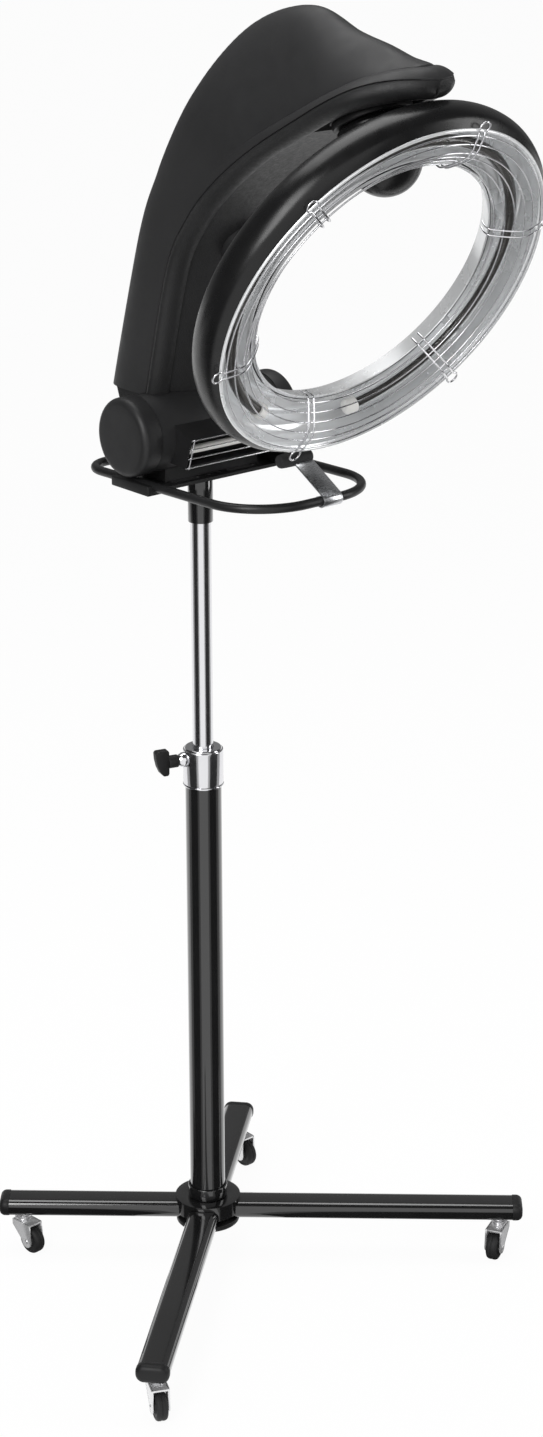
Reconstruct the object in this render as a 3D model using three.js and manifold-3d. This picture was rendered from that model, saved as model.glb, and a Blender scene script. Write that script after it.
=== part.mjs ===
// Hair colour processor: an orbiting infrared ring under an arched hood, on a rolling stand with a
// telescopic mast.
// Millimetres, +Z up, front towards -Y. The origin is on the floor, on the axis of the mast.
import * as THREE from 'three';
import { mergeVertices } from 'three/addons/utils/BufferGeometryUtils.js';
import Module from 'manifold-3d';

const wasm = await Module();
wasm.setup();

// Clearances
const SEAT_GAP = 0.3;
const RUN_GAP = 0.4;

// Base: four rounded box-section arms on a hub, longer in front because the head overhangs there
const FRONT_ARM = 410;
const REAR_ARM = 272;
const ARM_ANGLE = 48.4;
const ARM_W = 40;
const ARM_H = 23;
const ARM_CORNER = 10;
const ARM_WALL = 2;
const CAP_LENGTH = 13;
const CAP_PLUG = 8;
const CAP_ROUND = 6;
const CAP_LIP = 1.5;
const HUB_FLANGE = 19.5;
const HUB_WALL = 3;
const HUB_CHAMFER = 2.5;
const HUB_PLATE = 5;
const HUB_SKIRT = 15;
const LOWER_PLATE_IN = 1;
const LOWER_PLATE = 7;
const SLEEVE_WALL = 2.5;
const SLEEVE_H = 16;

// Casters
const CASTER_INSET = 16;
const WHEEL_R = 18;
const CASTER_STACK = 17.5;
const WHEEL_W = 16;
const TRAIL = 18;
const STEM_R = 5;
const STEM_IN_ARM = 9;
const RACE_R = 10.5;
const RACE_H = 3;
const RACE_NECK = 2;
const FORK_PLATE = 2.5;
const FORK_W = 17;
const AXLE_R = 3;

// Mast
const OUTER_R = 22.5;
const OUTER_WALL = 2.5;
const INNER_R = 12.7;
const INNER_WALL = 2;
const INNER_ENGAGED = 300;
const CLAMP_BOTTOM = 658;
const CLAMP_H = 45;
const CLAMP_WALL = 2.2;
const CLAMP_SOCKET = 22;
const CLAMP_RIM = 2;
const BOSS_R = 9.5;
const BOSS_TIP_R = 6.5;
const BOSS_LENGTH = 9;
const SCREW_R = 4;
const KNOB_ANGLE = 164;
const KNOB_R = 8;
const KNOB_LENGTH = 13;
const WING_HALF = 16.5;
const WING_DEPTH = 20;
const WING_T = 11;
const COLLAR_WALL = 2.2;
const COLLAR_H = 60;
const COLLAR_TOP_WALL = 10;

// Bracket under the head
const TILT_AXIS_Z = 1115;
const SADDLE_UNDER = 11;
const PLATE_T = 4;
const PLATE_IN = 1;
const PLATE_FRONT = 38;
const PLATE_REAR = 32;
const SLOT_W = 8;
const SLOT_LENGTH = 42;
const LOOP_R = 5.5;
const LOOP_OUT = 10;
const LOOP_CLEARANCE = 0.6;
const LOOP_FRONT = 222;
const LOOP_REAR = 95;
const LOOP_FRONT_CORNER = 76;
const LOOP_REAR_CORNER = 34;
const LOOP_PITCH = 1.2;
const BLOCK_OUT = 12;
const BLOCK_LAP = 3;
const BLOCK_UNDER = 1;
const BLOCK_FRONT = 44;
const BLOCK_REAR = 26;
const STRAP_X = 10;
const STRAP_W = 28;
const STRAP_T = 2.5;
const STRAP_REACH = 61;
const STRAP_PITCH = 30;
const PAD_R = 8.5;
const PAD_LENGTH = 48;
const PAD_OFFSET = 8;
const PAD_REACH = 64;
const SADDLE_HALF_D = 22;
const SADDLE_HALF_W = 70;

// Drum on the tilt axis, with the nape heater in front of it
const DRUM_R = 46;
const DRUM_HALF_W = 92;
const CAP_LAP = 1;
const CAP_W = 26;
const CAP_FILLET = 9;
const NAPE_HALF_W = 72;
const NAPE_DEPTH = 27;
const NAPE_TOP_Z = 3;
const NAPE_MOUTH = 35;
const NAPE_LEAN = 11;
const NAPE_WALL = 2.5;
const NAPE_HEATER_R = 5;
const NAPE_ROD_IN = 17;
const NAPE_ROD_DOWN = 15;
const GUARD_WIRE_R = 1.2;
const GUARD_WIRES = 4;
const GUARD_STAYS = 2;

// Hood: stations along the seam between the rear shell and the front cover, as forward, height above the
// tilt axis, half width, depth behind the seam and in front of it, depth of the rolled rim, how square the
// rear section is, and how far the brim beside the seam stands out
const HOOD_STATIONS = [
  { f: -7, z: 43, half: 75, back: 89, front: 26, rim: 16, square: 4, brim: 0 },
  { f: 34, z: 196, half: 75, back: 81, front: 26, rim: 16, square: 4, brim: 0 },
  { f: 72, z: 259, half: 75, back: 95, front: 23, rim: 16, square: 3.5, brim: 0 },
  { f: 120, z: 306, half: 75, back: 118, front: 17, rim: 16, square: 3, brim: 0 },
  { f: 184, z: 350, half: 75, back: 138, front: 15, rim: 15, square: 2.4, brim: 1 },
  { f: 262, z: 392, half: 75, back: 125, front: 16, rim: 16, square: 1.9, brim: 4 },
  { f: 300, z: 411, half: 72, back: 72, front: 17, rim: 17, square: 1.8, brim: 8 },
  { f: 342, z: 431, half: 62, back: 28, front: 19, rim: 19, square: 1.8, brim: 10 },
  { f: 375, z: 442, half: 49, back: 7.5, front: 20, rim: 20, square: 2, brim: 6 },
  { f: 391, z: 444, half: 36, back: 3, front: 18, rim: 18, square: 2.2, brim: 3 },
  { f: 400, z: 443.5, half: 24, back: 1.6, front: 14, rim: 14, square: 2.2, brim: 1 },
  { f: 404, z: 442, half: 12, back: 1, front: 8, rim: 8, square: 2.2, brim: 0 },
];
const BRIM_H = 9;
const HOOD_SECTIONS = 20;
const HOOD_WALL = 4;
const RIM_W = 22;
const RIM_GROOVE = 1.5;
const NECK_HALF_W = 66;
const PANEL_BOSS_AT = 0.134;
const PANEL_BOSS_X = 12;
const PANEL_BOSS_R = 30;
const PANEL_BOSS_H = 12;

// Orbiting ring
const ORBIT_F = 320;
const ORBIT_Z = 350;
const ORBIT_TILT = 26;
const ROTOR_R = 42;
const ROTOR_H = 42;
const DOME_IN = 1;
const SEAT_H = 8;
const RECESS_ROOM = 18;
const SPINDLE_R = 12;
const RING_TOP_F = 430.8;
const RING_TOP_Z = 403.4;
const RING_TILT = 28.5;
const RING_OUTER_R = 228;
const RING_RIM_IN = 13;
const RING_BAND = 70;
const RING_DEPTH = 51;
const RING_WALL = 3;
const REFLECTOR_T = 1.5;
const REFLECTOR_RIDGE = 8;
const BEAD = 2;
const TUBE_R = 7;
const TUBE_GAP_ANGLE = 50;
const TUBE_GAP_AT = 99;
const SUPPORT_ANGLES = [-20.5, 29];
const SUPPORT_L = 8;
const SUPPORT_WALL = 2;
const SUPPORT_PLAY = 1;
const CERAMIC_R = 9;
const CERAMIC_L = 16;
const CLIP_COUNT = 6;
const CLIP_WIRE_R = 1.2;
const CLIP_FIRST_ANGLE = 41;
const CLIP_HALF_W = 4.5;
const HOOK_ROOM = 1;
const RING_WIRES = 6;
const RING_WIRE_R = 1;
const LUG_HALF_W = 20;
const LUG_T = 18;

// Derived places
const ARM_BOTTOM = 2 * WHEEL_R + CASTER_STACK;
const ARM_TOP = ARM_BOTTOM + ARM_H;
const ARM_MEET = ARM_W / 2 / Math.tan(rad(Math.min(ARM_ANGLE, 90 - ARM_ANGLE)));
const ARM_INNER = Math.max(ARM_MEET, OUTER_R) + 1;
const HUB_R = OUTER_R + HUB_FLANGE;
const LOWER_PLATE_R = HUB_R - LOWER_PLATE_IN;
const LOWER_PLATE_TOP = ARM_BOTTOM - SEAT_GAP;
const HUB_TOP = ARM_TOP + SEAT_GAP + HUB_PLATE;
const CLAMP_R = OUTER_R + SEAT_GAP + CLAMP_WALL;
const CLAMP_TOP = CLAMP_BOTTOM + CLAMP_H;
const SCREW_Z = CLAMP_BOTTOM + (CLAMP_H + CLAMP_SOCKET) / 2;
const CAP_R = DRUM_R + CAP_LAP;
const PLATE_BELOW_AXIS = DRUM_R + SADDLE_UNDER;
const PLATE_HALF_W = DRUM_HALF_W - PLATE_IN;
const PLATE_TOP = TILT_AXIS_Z - PLATE_BELOW_AXIS;
const PLATE_BOTTOM = PLATE_TOP - PLATE_T;
const COLLAR_R = INNER_R + SEAT_GAP + COLLAR_WALL;
const COLLAR_TOP = PLATE_BOTTOM - SEAT_GAP;
const COLLAR_BOTTOM = COLLAR_TOP - COLLAR_H;
const LOOP_HALF_W = PLATE_HALF_W + LOOP_OUT;
const LOOP_Z = -CAP_R - LOOP_R - LOOP_CLEARANCE;
const BLOCK_OUTER = LOOP_HALF_W + BLOCK_OUT;
const BLOCK_LOW = PLATE_BELOW_AXIS + PLATE_T + BLOCK_UNDER;
const BLOCK_TOP = LOOP_Z + BLOCK_LAP;
const NAPE_REACH = DRUM_R + NAPE_DEPTH;
const DOME_R = ROTOR_R - DOME_IN;
const RECESS_R = ROTOR_R + RECESS_ROOM;
const RING_RIM_R = RING_OUTER_R - RING_RIM_IN;
const RING_INNER_R = RING_OUTER_R - RING_BAND;
const RING_F = RING_TOP_F - RING_OUTER_R * Math.sin(rad(RING_TILT));
const RING_Z = RING_TOP_Z - RING_OUTER_R * Math.cos(rad(RING_TILT));
const loopSlope = Math.tan(rad(LOOP_PITCH));

// Materials
const gloss = (color) => new THREE.MeshStandardMaterial({ color, roughness: 0.25, metalness: 0 });
const satin = (color) => new THREE.MeshStandardMaterial({ color, roughness: 0.55, metalness: 0 });
const metal = (color, roughness) => new THREE.MeshStandardMaterial({ color, roughness, metalness: 1 });
const BLACK = 0x141416;
const CHARCOAL = 0x2a2a2c;
const CHROME = 0xd8d8dc;
const SILVER = 0xc4c8cc;

// Helpers
function rad(degrees) {
  return (degrees * Math.PI) / 180;
}

function solid(geometry) {
  const bare = geometry.clone();
  for (const key of Object.keys(bare.attributes)) {
    if (key !== 'position') bare.deleteAttribute(key);
  }
  const merged = mergeVertices(bare, 1e-4);
  return new wasm.Manifold(
    new wasm.Mesh({
      numProp: 3,
      vertProperties: new Float32Array(merged.attributes.position.array),
      triVerts: new Uint32Array(merged.index.array),
    }),
  );
}

function geometryOf(manifold) {
  const { vertProperties, triVerts, numProp } = manifold.getMesh();
  const geometry = new THREE.BufferGeometry();
  const count = vertProperties.length / numProp;
  const positions = new Float32Array(count * 3);
  for (let i = 0; i < count; i++) {
    for (let k = 0; k < 3; k++) positions[3 * i + k] = vertProperties[numProp * i + k];
  }
  geometry.setAttribute('position', new THREE.BufferAttribute(positions, 3));
  geometry.setIndex(new THREE.BufferAttribute(new Uint32Array(triVerts), 1));
  geometry.computeVertexNormals();
  return geometry;
}

function cut(geometry, ...tools) {
  return geometryOf(tools.reduce((body, tool) => body.subtract(solid(tool)), solid(geometry)));
}

function join(...geometries) {
  return geometryOf(geometries.slice(1).reduce((body, next) => body.add(solid(next)), solid(geometries[0])));
}

function mesh(parent, name, geometry, material) {
  const piece = new THREE.Mesh(geometry, material);
  piece.name = name;
  parent.add(piece);
  return piece;
}

// A body of revolution about Z from [radius, z] pairs
function turned(profile, segments = 20) {
  const points = profile.map(([r, z]) => new THREE.Vector2(r, z));
  const geometry = new THREE.LatheGeometry(points, segments);
  geometry.rotateX(Math.PI / 2);
  return outward(geometry);
}

// Reverses a closed surface whose faces point in
function outward(geometry) {
  const source = geometry.index ? geometry.toNonIndexed() : geometry;
  const p = source.attributes.position.array;
  let volume = 0;
  for (let i = 0; i < p.length; i += 9) {
    const a = new THREE.Vector3(p[i], p[i + 1], p[i + 2]);
    const b = new THREE.Vector3(p[i + 3], p[i + 4], p[i + 5]);
    const c = new THREE.Vector3(p[i + 6], p[i + 7], p[i + 8]);
    volume += a.dot(b.cross(c));
  }
  if (volume < 0) {
    for (let i = 0; i < p.length; i += 9) {
      for (let k = 0; k < 3; k++) [p[i + 3 + k], p[i + 6 + k]] = [p[i + 6 + k], p[i + 3 + k]];
    }
  }
  source.deleteAttribute('normal');
  source.deleteAttribute('uv');
  const merged = mergeVertices(source, 1e-4);
  merged.computeVertexNormals();
  return merged;
}

// A ring about Z between two radii and two heights
function sleeve(inner, outer, low, high, segments = 20) {
  return turned([[inner, low], [outer, low], [outer, high], [inner, high], [inner, low]], segments);
}

// A cylinder about Z
function rod(radius, low, high, segments = 20) {
  const geometry = new THREE.CylinderGeometry(radius, radius, high - low, segments);
  geometry.rotateX(Math.PI / 2);
  geometry.translate(0, 0, (low + high) / 2);
  return geometry;
}

function box(x0, x1, y0, y1, z0, z1) {
  const geometry = new THREE.BoxGeometry(x1 - x0, y1 - y0, z1 - z0);
  geometry.translate((x0 + x1) / 2, (y0 + y1) / 2, (z0 + z1) / 2);
  return geometry;
}

function roundedRect(width, height, corner, x = 0, y = 0, Kind = THREE.Shape) {
  const shape = new Kind();
  const [w, h] = [width / 2, height / 2];
  shape.moveTo(x - w + corner, y - h);
  shape.lineTo(x + w - corner, y - h);
  shape.absarc(x + w - corner, y - h + corner, corner, -Math.PI / 2, 0);
  shape.lineTo(x + w, y + h - corner);
  shape.absarc(x + w - corner, y + h - corner, corner, 0, Math.PI / 2);
  shape.lineTo(x - w + corner, y + h);
  shape.absarc(x - w + corner, y + h - corner, corner, Math.PI / 2, Math.PI);
  shape.lineTo(x - w, y - h + corner);
  shape.absarc(x - w + corner, y - h + corner, corner, Math.PI, Math.PI * 1.5);
  return shape;
}

function extruded(shape, depth, curveSegments = 3) {
  return new THREE.ExtrudeGeometry(shape, { depth, curveSegments, steps: 1, bevelEnabled: false });
}

// A side profile given as [forward, height] pairs, extruded across X between two places
function sideProfile(points, x0, x1) {
  const shape = new THREE.Shape(points.map(([f, z]) => new THREE.Vector2(f, z)));
  const geometry = extruded(shape, x1 - x0);
  geometry.applyMatrix4(
    new THREE.Matrix4().makeBasis(
      new THREE.Vector3(0, -1, 0),
      new THREE.Vector3(0, 0, 1),
      new THREE.Vector3(-1, 0, 0),
    ),
  );
  geometry.translate(x1, 0, 0);
  return geometry;
}

// A round bar along a curve
function bar(curve, radius, steps, sides = 8) {
  const circle = new THREE.Shape();
  circle.absarc(0, 0, radius, 0, 2 * Math.PI);
  return new THREE.ExtrudeGeometry(circle, { steps, curveSegments: sides / 2, extrudePath: curve });
}

// A closed body through loops of points with equal counts
function loft(loops) {
  const n = loops[0].length;
  const positions = [];
  const index = [];
  for (const loop of loops) for (const p of loop) positions.push(p.x, p.y, p.z);
  for (let s = 0; s + 1 < loops.length; s++) {
    for (let i = 0; i < n; i++) {
      const [a, b] = [s * n + i, s * n + ((i + 1) % n)];
      index.push(a, b, b + n, a, b + n, a + n);
    }
  }
  const cap = (start, flip) => {
    const loop = start === 0 ? loops[0] : loops[loops.length - 1];
    const centre = loop.reduce((sum, p) => sum.add(p), new THREE.Vector3()).divideScalar(n);
    const hub = positions.length / 3;
    positions.push(centre.x, centre.y, centre.z);
    for (let i = 0; i < n; i++) {
      const [a, b] = [start + i, start + ((i + 1) % n)];
      if (flip) index.push(hub, b, a);
      else index.push(hub, a, b);
    }
  };
  cap(0, true);
  cap((loops.length - 1) * n, false);
  const geometry = new THREE.BufferGeometry();
  geometry.setAttribute('position', new THREE.Float32BufferAttribute(positions, 3));
  geometry.setIndex(index);
  return outward(geometry);
}

const part = new THREE.Group();

// Base hub
const base = new THREE.Group();
part.add(base);

const ARMS = [
  { name: 'front_left', angle: -90 - ARM_ANGLE, length: FRONT_ARM, casterYaw: 245 },
  { name: 'front_right', angle: -90 + ARM_ANGLE, length: FRONT_ARM, casterYaw: 207 },
  { name: 'rear_left', angle: 90 + ARM_ANGLE, length: REAR_ARM, casterYaw: -85 },
  { name: 'rear_right', angle: 90 - ARM_ANGLE, length: REAR_ARM, casterYaw: -90 },
];

// An arm's outline swept outwards along its direction, grown by a clearance
function armPrism(arm, from, to, grow) {
  const shape = roundedRect(ARM_W + 2 * grow, ARM_H + 2 * grow, ARM_CORNER + grow);
  const geometry = extruded(shape, to - from, 2);
  geometry.rotateX(Math.PI / 2);
  geometry.rotateZ(Math.PI / 2);
  geometry.translate(from, 0, ARM_BOTTOM + ARM_H / 2);
  geometry.rotateZ(rad(arm.angle));
  return geometry;
}

const hubCap = turned([
  [OUTER_R + SEAT_GAP, HUB_TOP - HUB_PLATE],
  [HUB_R - HUB_WALL, HUB_TOP - HUB_PLATE],
  [HUB_R - HUB_WALL, HUB_TOP - HUB_PLATE - HUB_SKIRT],
  [HUB_R, HUB_TOP - HUB_PLATE - HUB_SKIRT],
  [HUB_R, HUB_TOP - HUB_CHAMFER],
  [HUB_R - HUB_CHAMFER, HUB_TOP],
  [OUTER_R + SEAT_GAP, HUB_TOP],
  [OUTER_R + SEAT_GAP, HUB_TOP - HUB_PLATE],
]);
const armNotches = ARMS.map((arm) => armPrism(arm, OUTER_R / 2, 2 * HUB_R, SEAT_GAP));
mesh(base, 'hub_top_disc', cut(hubCap, ...armNotches), gloss(BLACK));
const lowerPlate = rod(LOWER_PLATE_R, LOWER_PLATE_TOP - LOWER_PLATE, LOWER_PLATE_TOP, 24);
mesh(base, 'hub_lower_plate', lowerPlate, satin(BLACK));
mesh(
  base,
  'tube_sleeve',
  turned([
    [OUTER_R + SEAT_GAP, HUB_TOP + SEAT_GAP],
    [OUTER_R + SEAT_GAP + SLEEVE_WALL, HUB_TOP + SEAT_GAP],
    [OUTER_R + SEAT_GAP + SLEEVE_WALL - 1, HUB_TOP + SLEEVE_H],
    [OUTER_R + SEAT_GAP, HUB_TOP + SLEEVE_H],
    [OUTER_R + SEAT_GAP, HUB_TOP + SEAT_GAP],
  ]),
  gloss(BLACK),
);

// Arms, end caps and casters
function armTube(arm) {
  const shape = roundedRect(ARM_W, ARM_H, ARM_CORNER);
  const [boreW, boreH] = [ARM_W - 2 * ARM_WALL, ARM_H - 2 * ARM_WALL];
  shape.holes.push(roundedRect(boreW, boreH, ARM_CORNER - ARM_WALL, 0, 0, THREE.Path));
  const tube = extruded(shape, arm.length - CAP_LENGTH - ARM_INNER, 2);
  const stemHole = rod(STEM_R + 2 * RUN_GAP, -ARM_H, 0, 8);
  tube.rotateX(Math.PI / 2);
  tube.rotateZ(Math.PI / 2);
  tube.translate(ARM_INNER, 0, 0);
  stemHole.translate(arm.length - CASTER_INSET - CAP_LENGTH, 0, 0);
  return cut(tube, stemHole);
}

// A rounded oblong loop across X at a distance along the arm, inset from the arm's outline
function armLoop(along, inset) {
  const corner = Math.max(ARM_CORNER - inset, 1);
  const shape = roundedRect(ARM_W - 2 * inset, ARM_H - 2 * inset, corner);
  return shape.extractPoints(1).shape.slice(0, -1).map((p) => new THREE.Vector3(along, p.x, p.y));
}

// End cap: a plug in the tube's bore, a lip that covers the tube's end and a rolled outer edge
function armCap() {
  const bore = ARM_WALL + SEAT_GAP;
  const end = CAP_LENGTH - SEAT_GAP;
  const mid = CAP_ROUND * (1 - Math.SQRT1_2);
  return loft([
    armLoop(-CAP_PLUG, bore),
    armLoop(0, bore),
    armLoop(0, -CAP_LIP),
    armLoop(end - CAP_ROUND, -CAP_LIP),
    armLoop(end - mid, mid - CAP_LIP),
    armLoop(end, CAP_ROUND - CAP_LIP),
  ]);
}

// Swivel fork in its own frame: the stem on Z, the wheel trailing along +X
function casterFork() {
  const upperRace = ARM_BOTTOM - RUN_GAP - RACE_H;
  const lowerRace = upperRace - RACE_NECK - RACE_H;
  const halfGap = WHEEL_W / 2 + 0.8;
  const stem = turned([
    [0, lowerRace - 2],
    [RACE_R, lowerRace - 2],
    [RACE_R, lowerRace + RACE_H],
    [STEM_R + 2, lowerRace + RACE_H],
    [STEM_R + 2, upperRace],
    [RACE_R, upperRace],
    [RACE_R, upperRace + RACE_H],
    [STEM_R, upperRace + RACE_H],
    [STEM_R, ARM_BOTTOM + STEM_IN_ARM],
    [0, ARM_BOTTOM + STEM_IN_ARM],
  ], 8);
  const crown = lowerRace - 2;
  const cheekShape = new THREE.Shape();
  cheekShape.moveTo(-RACE_R + 2, crown);
  cheekShape.lineTo(TRAIL + FORK_W / 2 - 2, crown);
  cheekShape.lineTo(TRAIL + FORK_W / 2, WHEEL_R);
  cheekShape.absarc(TRAIL, WHEEL_R, FORK_W / 2, 0, -Math.PI, true);
  cheekShape.lineTo(-RACE_R + 2, crown - 8);
  cheekShape.closePath();
  const cheek = (y) => {
    const plate = extruded(cheekShape, FORK_PLATE, 2);
    plate.rotateX(Math.PI / 2);
    plate.translate(0, y + FORK_PLATE, 0);
    return plate;
  };
  const bridgeLow = WHEEL_R * 2 + 2.5;
  const bridge = box(-RACE_R + 2, TRAIL + FORK_W / 2 - 2, -halfGap - 0.5, halfGap + 0.5, bridgeLow, crown);
  const axle = rod(AXLE_R, -halfGap - FORK_PLATE - 1, halfGap + FORK_PLATE + 1, 6);
  axle.rotateX(Math.PI / 2);
  axle.translate(TRAIL, 0, WHEEL_R);
  return join(stem, bridge, cheek(halfGap), cheek(-halfGap - FORK_PLATE), axle);
}

function casterWheel() {
  const w = WHEEL_W / 2;
  const wheel = turned([
    [AXLE_R + RUN_GAP, -w],
    [WHEEL_R * 0.5, -w],
    [WHEEL_R - 3, -w + 1.5],
    [WHEEL_R, -w + 4],
    [WHEEL_R, w - 4],
    [WHEEL_R - 3, w - 1.5],
    [WHEEL_R * 0.5, w],
    [AXLE_R + RUN_GAP, w],
    [AXLE_R + RUN_GAP, -w],
  ], 12);
  wheel.rotateX(Math.PI / 2);
  return wheel;
}

for (const arm of ARMS) {
  const spoke = new THREE.Group();
  spoke.rotation.z = rad(arm.angle);
  base.add(spoke);
  mesh(spoke, `arm_${arm.name}`, armTube(arm), gloss(BLACK)).position.z = ARM_BOTTOM + ARM_H / 2;
  const cap = mesh(spoke, `arm_cap_${arm.name}`, armCap(), satin(BLACK));
  cap.position.set(arm.length - CAP_LENGTH + SEAT_GAP, 0, ARM_BOTTOM + ARM_H / 2);
  const caster = new THREE.Group();
  caster.position.x = arm.length - CASTER_INSET - CAP_LENGTH;
  caster.rotation.z = rad(arm.casterYaw - arm.angle);
  spoke.add(caster);
  mesh(caster, `caster_fork_${arm.name}`, casterFork(), metal(CHROME, 0.15));
  mesh(caster, `caster_wheel_${arm.name}`, casterWheel(), satin(BLACK)).position.set(TRAIL, 0, WHEEL_R);
}

// Mast: outer tube, height clamp and sliding inner tube
const outerTop = CLAMP_BOTTOM + CLAMP_SOCKET - SEAT_GAP;
const outerTube = sleeve(OUTER_R - OUTER_WALL, OUTER_R, LOWER_PLATE_TOP + SEAT_GAP, outerTop);
mesh(base, 'outer_tube', outerTube, gloss(BLACK));
const footTop = CLAMP_BOTTOM - SEAT_GAP;
const foot = sleeve(OUTER_R + SEAT_GAP, CLAMP_R + 0.4, footTop - CLAMP_RIM, footTop);
mesh(base, 'clamp_foot_ring', foot, metal(CHROME, 0.15));

const screwHole = rod(SCREW_R + 2 * RUN_GAP, 0, CLAMP_R + 10, 8);
screwHole.rotateY(Math.PI / 2);
screwHole.translate(0, 0, SCREW_Z);
screwHole.rotateZ(rad(KNOB_ANGLE));
const collar = turned([
  [OUTER_R + SEAT_GAP, CLAMP_BOTTOM],
  [CLAMP_R, CLAMP_BOTTOM],
  [CLAMP_R, CLAMP_TOP - 1.5],
  [CLAMP_R - 1.5, CLAMP_TOP],
  [INNER_R + RUN_GAP, CLAMP_TOP],
  [INNER_R + RUN_GAP, CLAMP_BOTTOM + CLAMP_SOCKET],
  [OUTER_R + SEAT_GAP, CLAMP_BOTTOM + CLAMP_SOCKET],
  [OUTER_R + SEAT_GAP, CLAMP_BOTTOM],
]);
mesh(base, 'clamp_collar', cut(collar, screwHole), metal(CHROME, 0.15));
const lip = turned([
  [INNER_R + RUN_GAP, CLAMP_TOP + SEAT_GAP],
  [CLAMP_R - 1.5, CLAMP_TOP + SEAT_GAP],
  [CLAMP_R - 3, CLAMP_TOP + SEAT_GAP + CLAMP_RIM],
  [INNER_R + RUN_GAP, CLAMP_TOP + SEAT_GAP + CLAMP_RIM],
  [INNER_R + RUN_GAP, CLAMP_TOP + SEAT_GAP],
]);
mesh(base, 'clamp_lip', lip, metal(CHROME, 0.2));

// Clamp screw: along +X in its own group, turned to its side of the mast
const screw = new THREE.Group();
screw.rotation.z = rad(KNOB_ANGLE);
screw.position.z = SCREW_Z;
base.add(screw);
const bossEnd = CLAMP_R + BOSS_LENGTH;
const boss = turned([
  [SCREW_R + RUN_GAP, CLAMP_R - 6],
  [BOSS_R, CLAMP_R - 6],
  [BOSS_R, CLAMP_R + 3],
  [BOSS_TIP_R, bossEnd],
  [SCREW_R + RUN_GAP, bossEnd],
  [SCREW_R + RUN_GAP, CLAMP_R - 6],
], 16);
boss.rotateY(Math.PI / 2);
mesh(screw, 'clamp_boss', cut(boss, rod(CLAMP_R + SEAT_GAP, -CLAMP_H, CLAMP_H, 28)), metal(CHROME, 0.15));
const knobStart = bossEnd + RUN_GAP;
const knobCore = turned([
  [0, INNER_R + RUN_GAP],
  [SCREW_R, INNER_R + RUN_GAP],
  [SCREW_R, knobStart],
  [KNOB_R, knobStart],
  [KNOB_R, knobStart + KNOB_LENGTH],
  [0, knobStart + KNOB_LENGTH],
], 14);
knobCore.rotateY(Math.PI / 2);
// The wing's outline as [outwards, up], swept back towards its lower end
const wingOutline = [
  [0.12, 0.9],
  [0.2, 1],
  [0.9, 1],
  [1, 0.85],
  [0.97, 0.35],
  [0.86, -0.25],
  [0.68, -0.75],
  [0.48, -1],
  [0.2, -1],
  [0.12, -0.85],
];
const wingPoints = wingOutline.map(([r, z]) => new THREE.Vector2(r * WING_DEPTH, z * WING_HALF));
const wingShape = new THREE.Shape(wingPoints);
const wing = extruded(wingShape, WING_T);
wing.rotateX(Math.PI / 2);
wing.translate(knobStart + KNOB_LENGTH - 3, WING_T / 2, 0);
mesh(screw, 'clamp_knob', join(knobCore, wing), satin(BLACK));

const mast = new THREE.Group();
part.add(mast);
const innerTop = COLLAR_TOP - COLLAR_TOP_WALL - SEAT_GAP;
const innerTube = sleeve(INNER_R - INNER_WALL, INNER_R, CLAMP_TOP - INNER_ENGAGED, innerTop);
mesh(mast, 'inner_tube', innerTube, metal(CHROME, 0.1));

// Head bracket: collar, plate, bumper loop and saddle
const bracket = new THREE.Group();
part.add(bracket);
const topCollar = turned([
  [0, COLLAR_TOP],
  [0, COLLAR_TOP - COLLAR_TOP_WALL],
  [INNER_R + SEAT_GAP, COLLAR_TOP - COLLAR_TOP_WALL],
  [INNER_R + SEAT_GAP, COLLAR_BOTTOM],
  [COLLAR_R, COLLAR_BOTTOM],
  [COLLAR_R, COLLAR_TOP],
  [0, COLLAR_TOP],
]);
mesh(bracket, 'top_collar', topCollar, gloss(BLACK));

const head = new THREE.Group();
head.position.z = TILT_AXIS_Z;
part.add(head);
const cradle = new THREE.Group();
cradle.position.z = TILT_AXIS_Z;
bracket.add(cradle);

const plateDepth = PLATE_FRONT + PLATE_REAR;
const plateMiddle = (PLATE_FRONT - PLATE_REAR) / 2;
const plateShape = roundedRect(2 * PLATE_HALF_W, plateDepth, 6, 0, -plateMiddle);
const slotY = -PLATE_FRONT + 12;
for (const side of [-1, 1]) {
  plateShape.holes.push(roundedRect(SLOT_LENGTH, SLOT_W, SLOT_W / 2, side * 42, slotY, THREE.Path));
  const hole = new THREE.Path();
  hole.absarc(side * 8, slotY, SLOT_W / 2 - 0.5, 0, 2 * Math.PI);
  plateShape.holes.push(hole);
}
const plate = extruded(plateShape, PLATE_T, 2);
plate.translate(0, 0, -PLATE_BELOW_AXIS - PLATE_T);
mesh(cradle, 'tray_plate', plate, satin(BLACK));

// Closed bumper loop of bent rod under the drum, rising slightly towards the front
function loopPoints(bendSteps) {
  const corner = (side, y, radius, from) => ({ x: side * (LOOP_HALF_W - radius), y, radius, from });
  const rearY = LOOP_REAR - LOOP_REAR_CORNER;
  const frontY = LOOP_FRONT_CORNER - LOOP_FRONT;
  const bends = [
    corner(-1, rearY, LOOP_REAR_CORNER, 90),
    corner(-1, frontY, LOOP_FRONT_CORNER, 180),
    corner(1, frontY, LOOP_FRONT_CORNER, 270),
    corner(1, rearY, LOOP_REAR_CORNER, 0),
  ];
  const points = [];
  for (const bend of bends) {
    for (let i = 0; i <= bendSteps; i++) {
      const angle = rad(bend.from + (90 * i) / bendSteps);
      const side = new THREE.Vector3(Math.cos(angle), Math.sin(angle), 0);
      const at = side.clone().multiplyScalar(bend.radius).add(new THREE.Vector3(bend.x, bend.y, LOOP_Z));
      at.z -= at.y * loopSlope;
      points.push({ at, side });
    }
  }
  return points;
}

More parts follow.
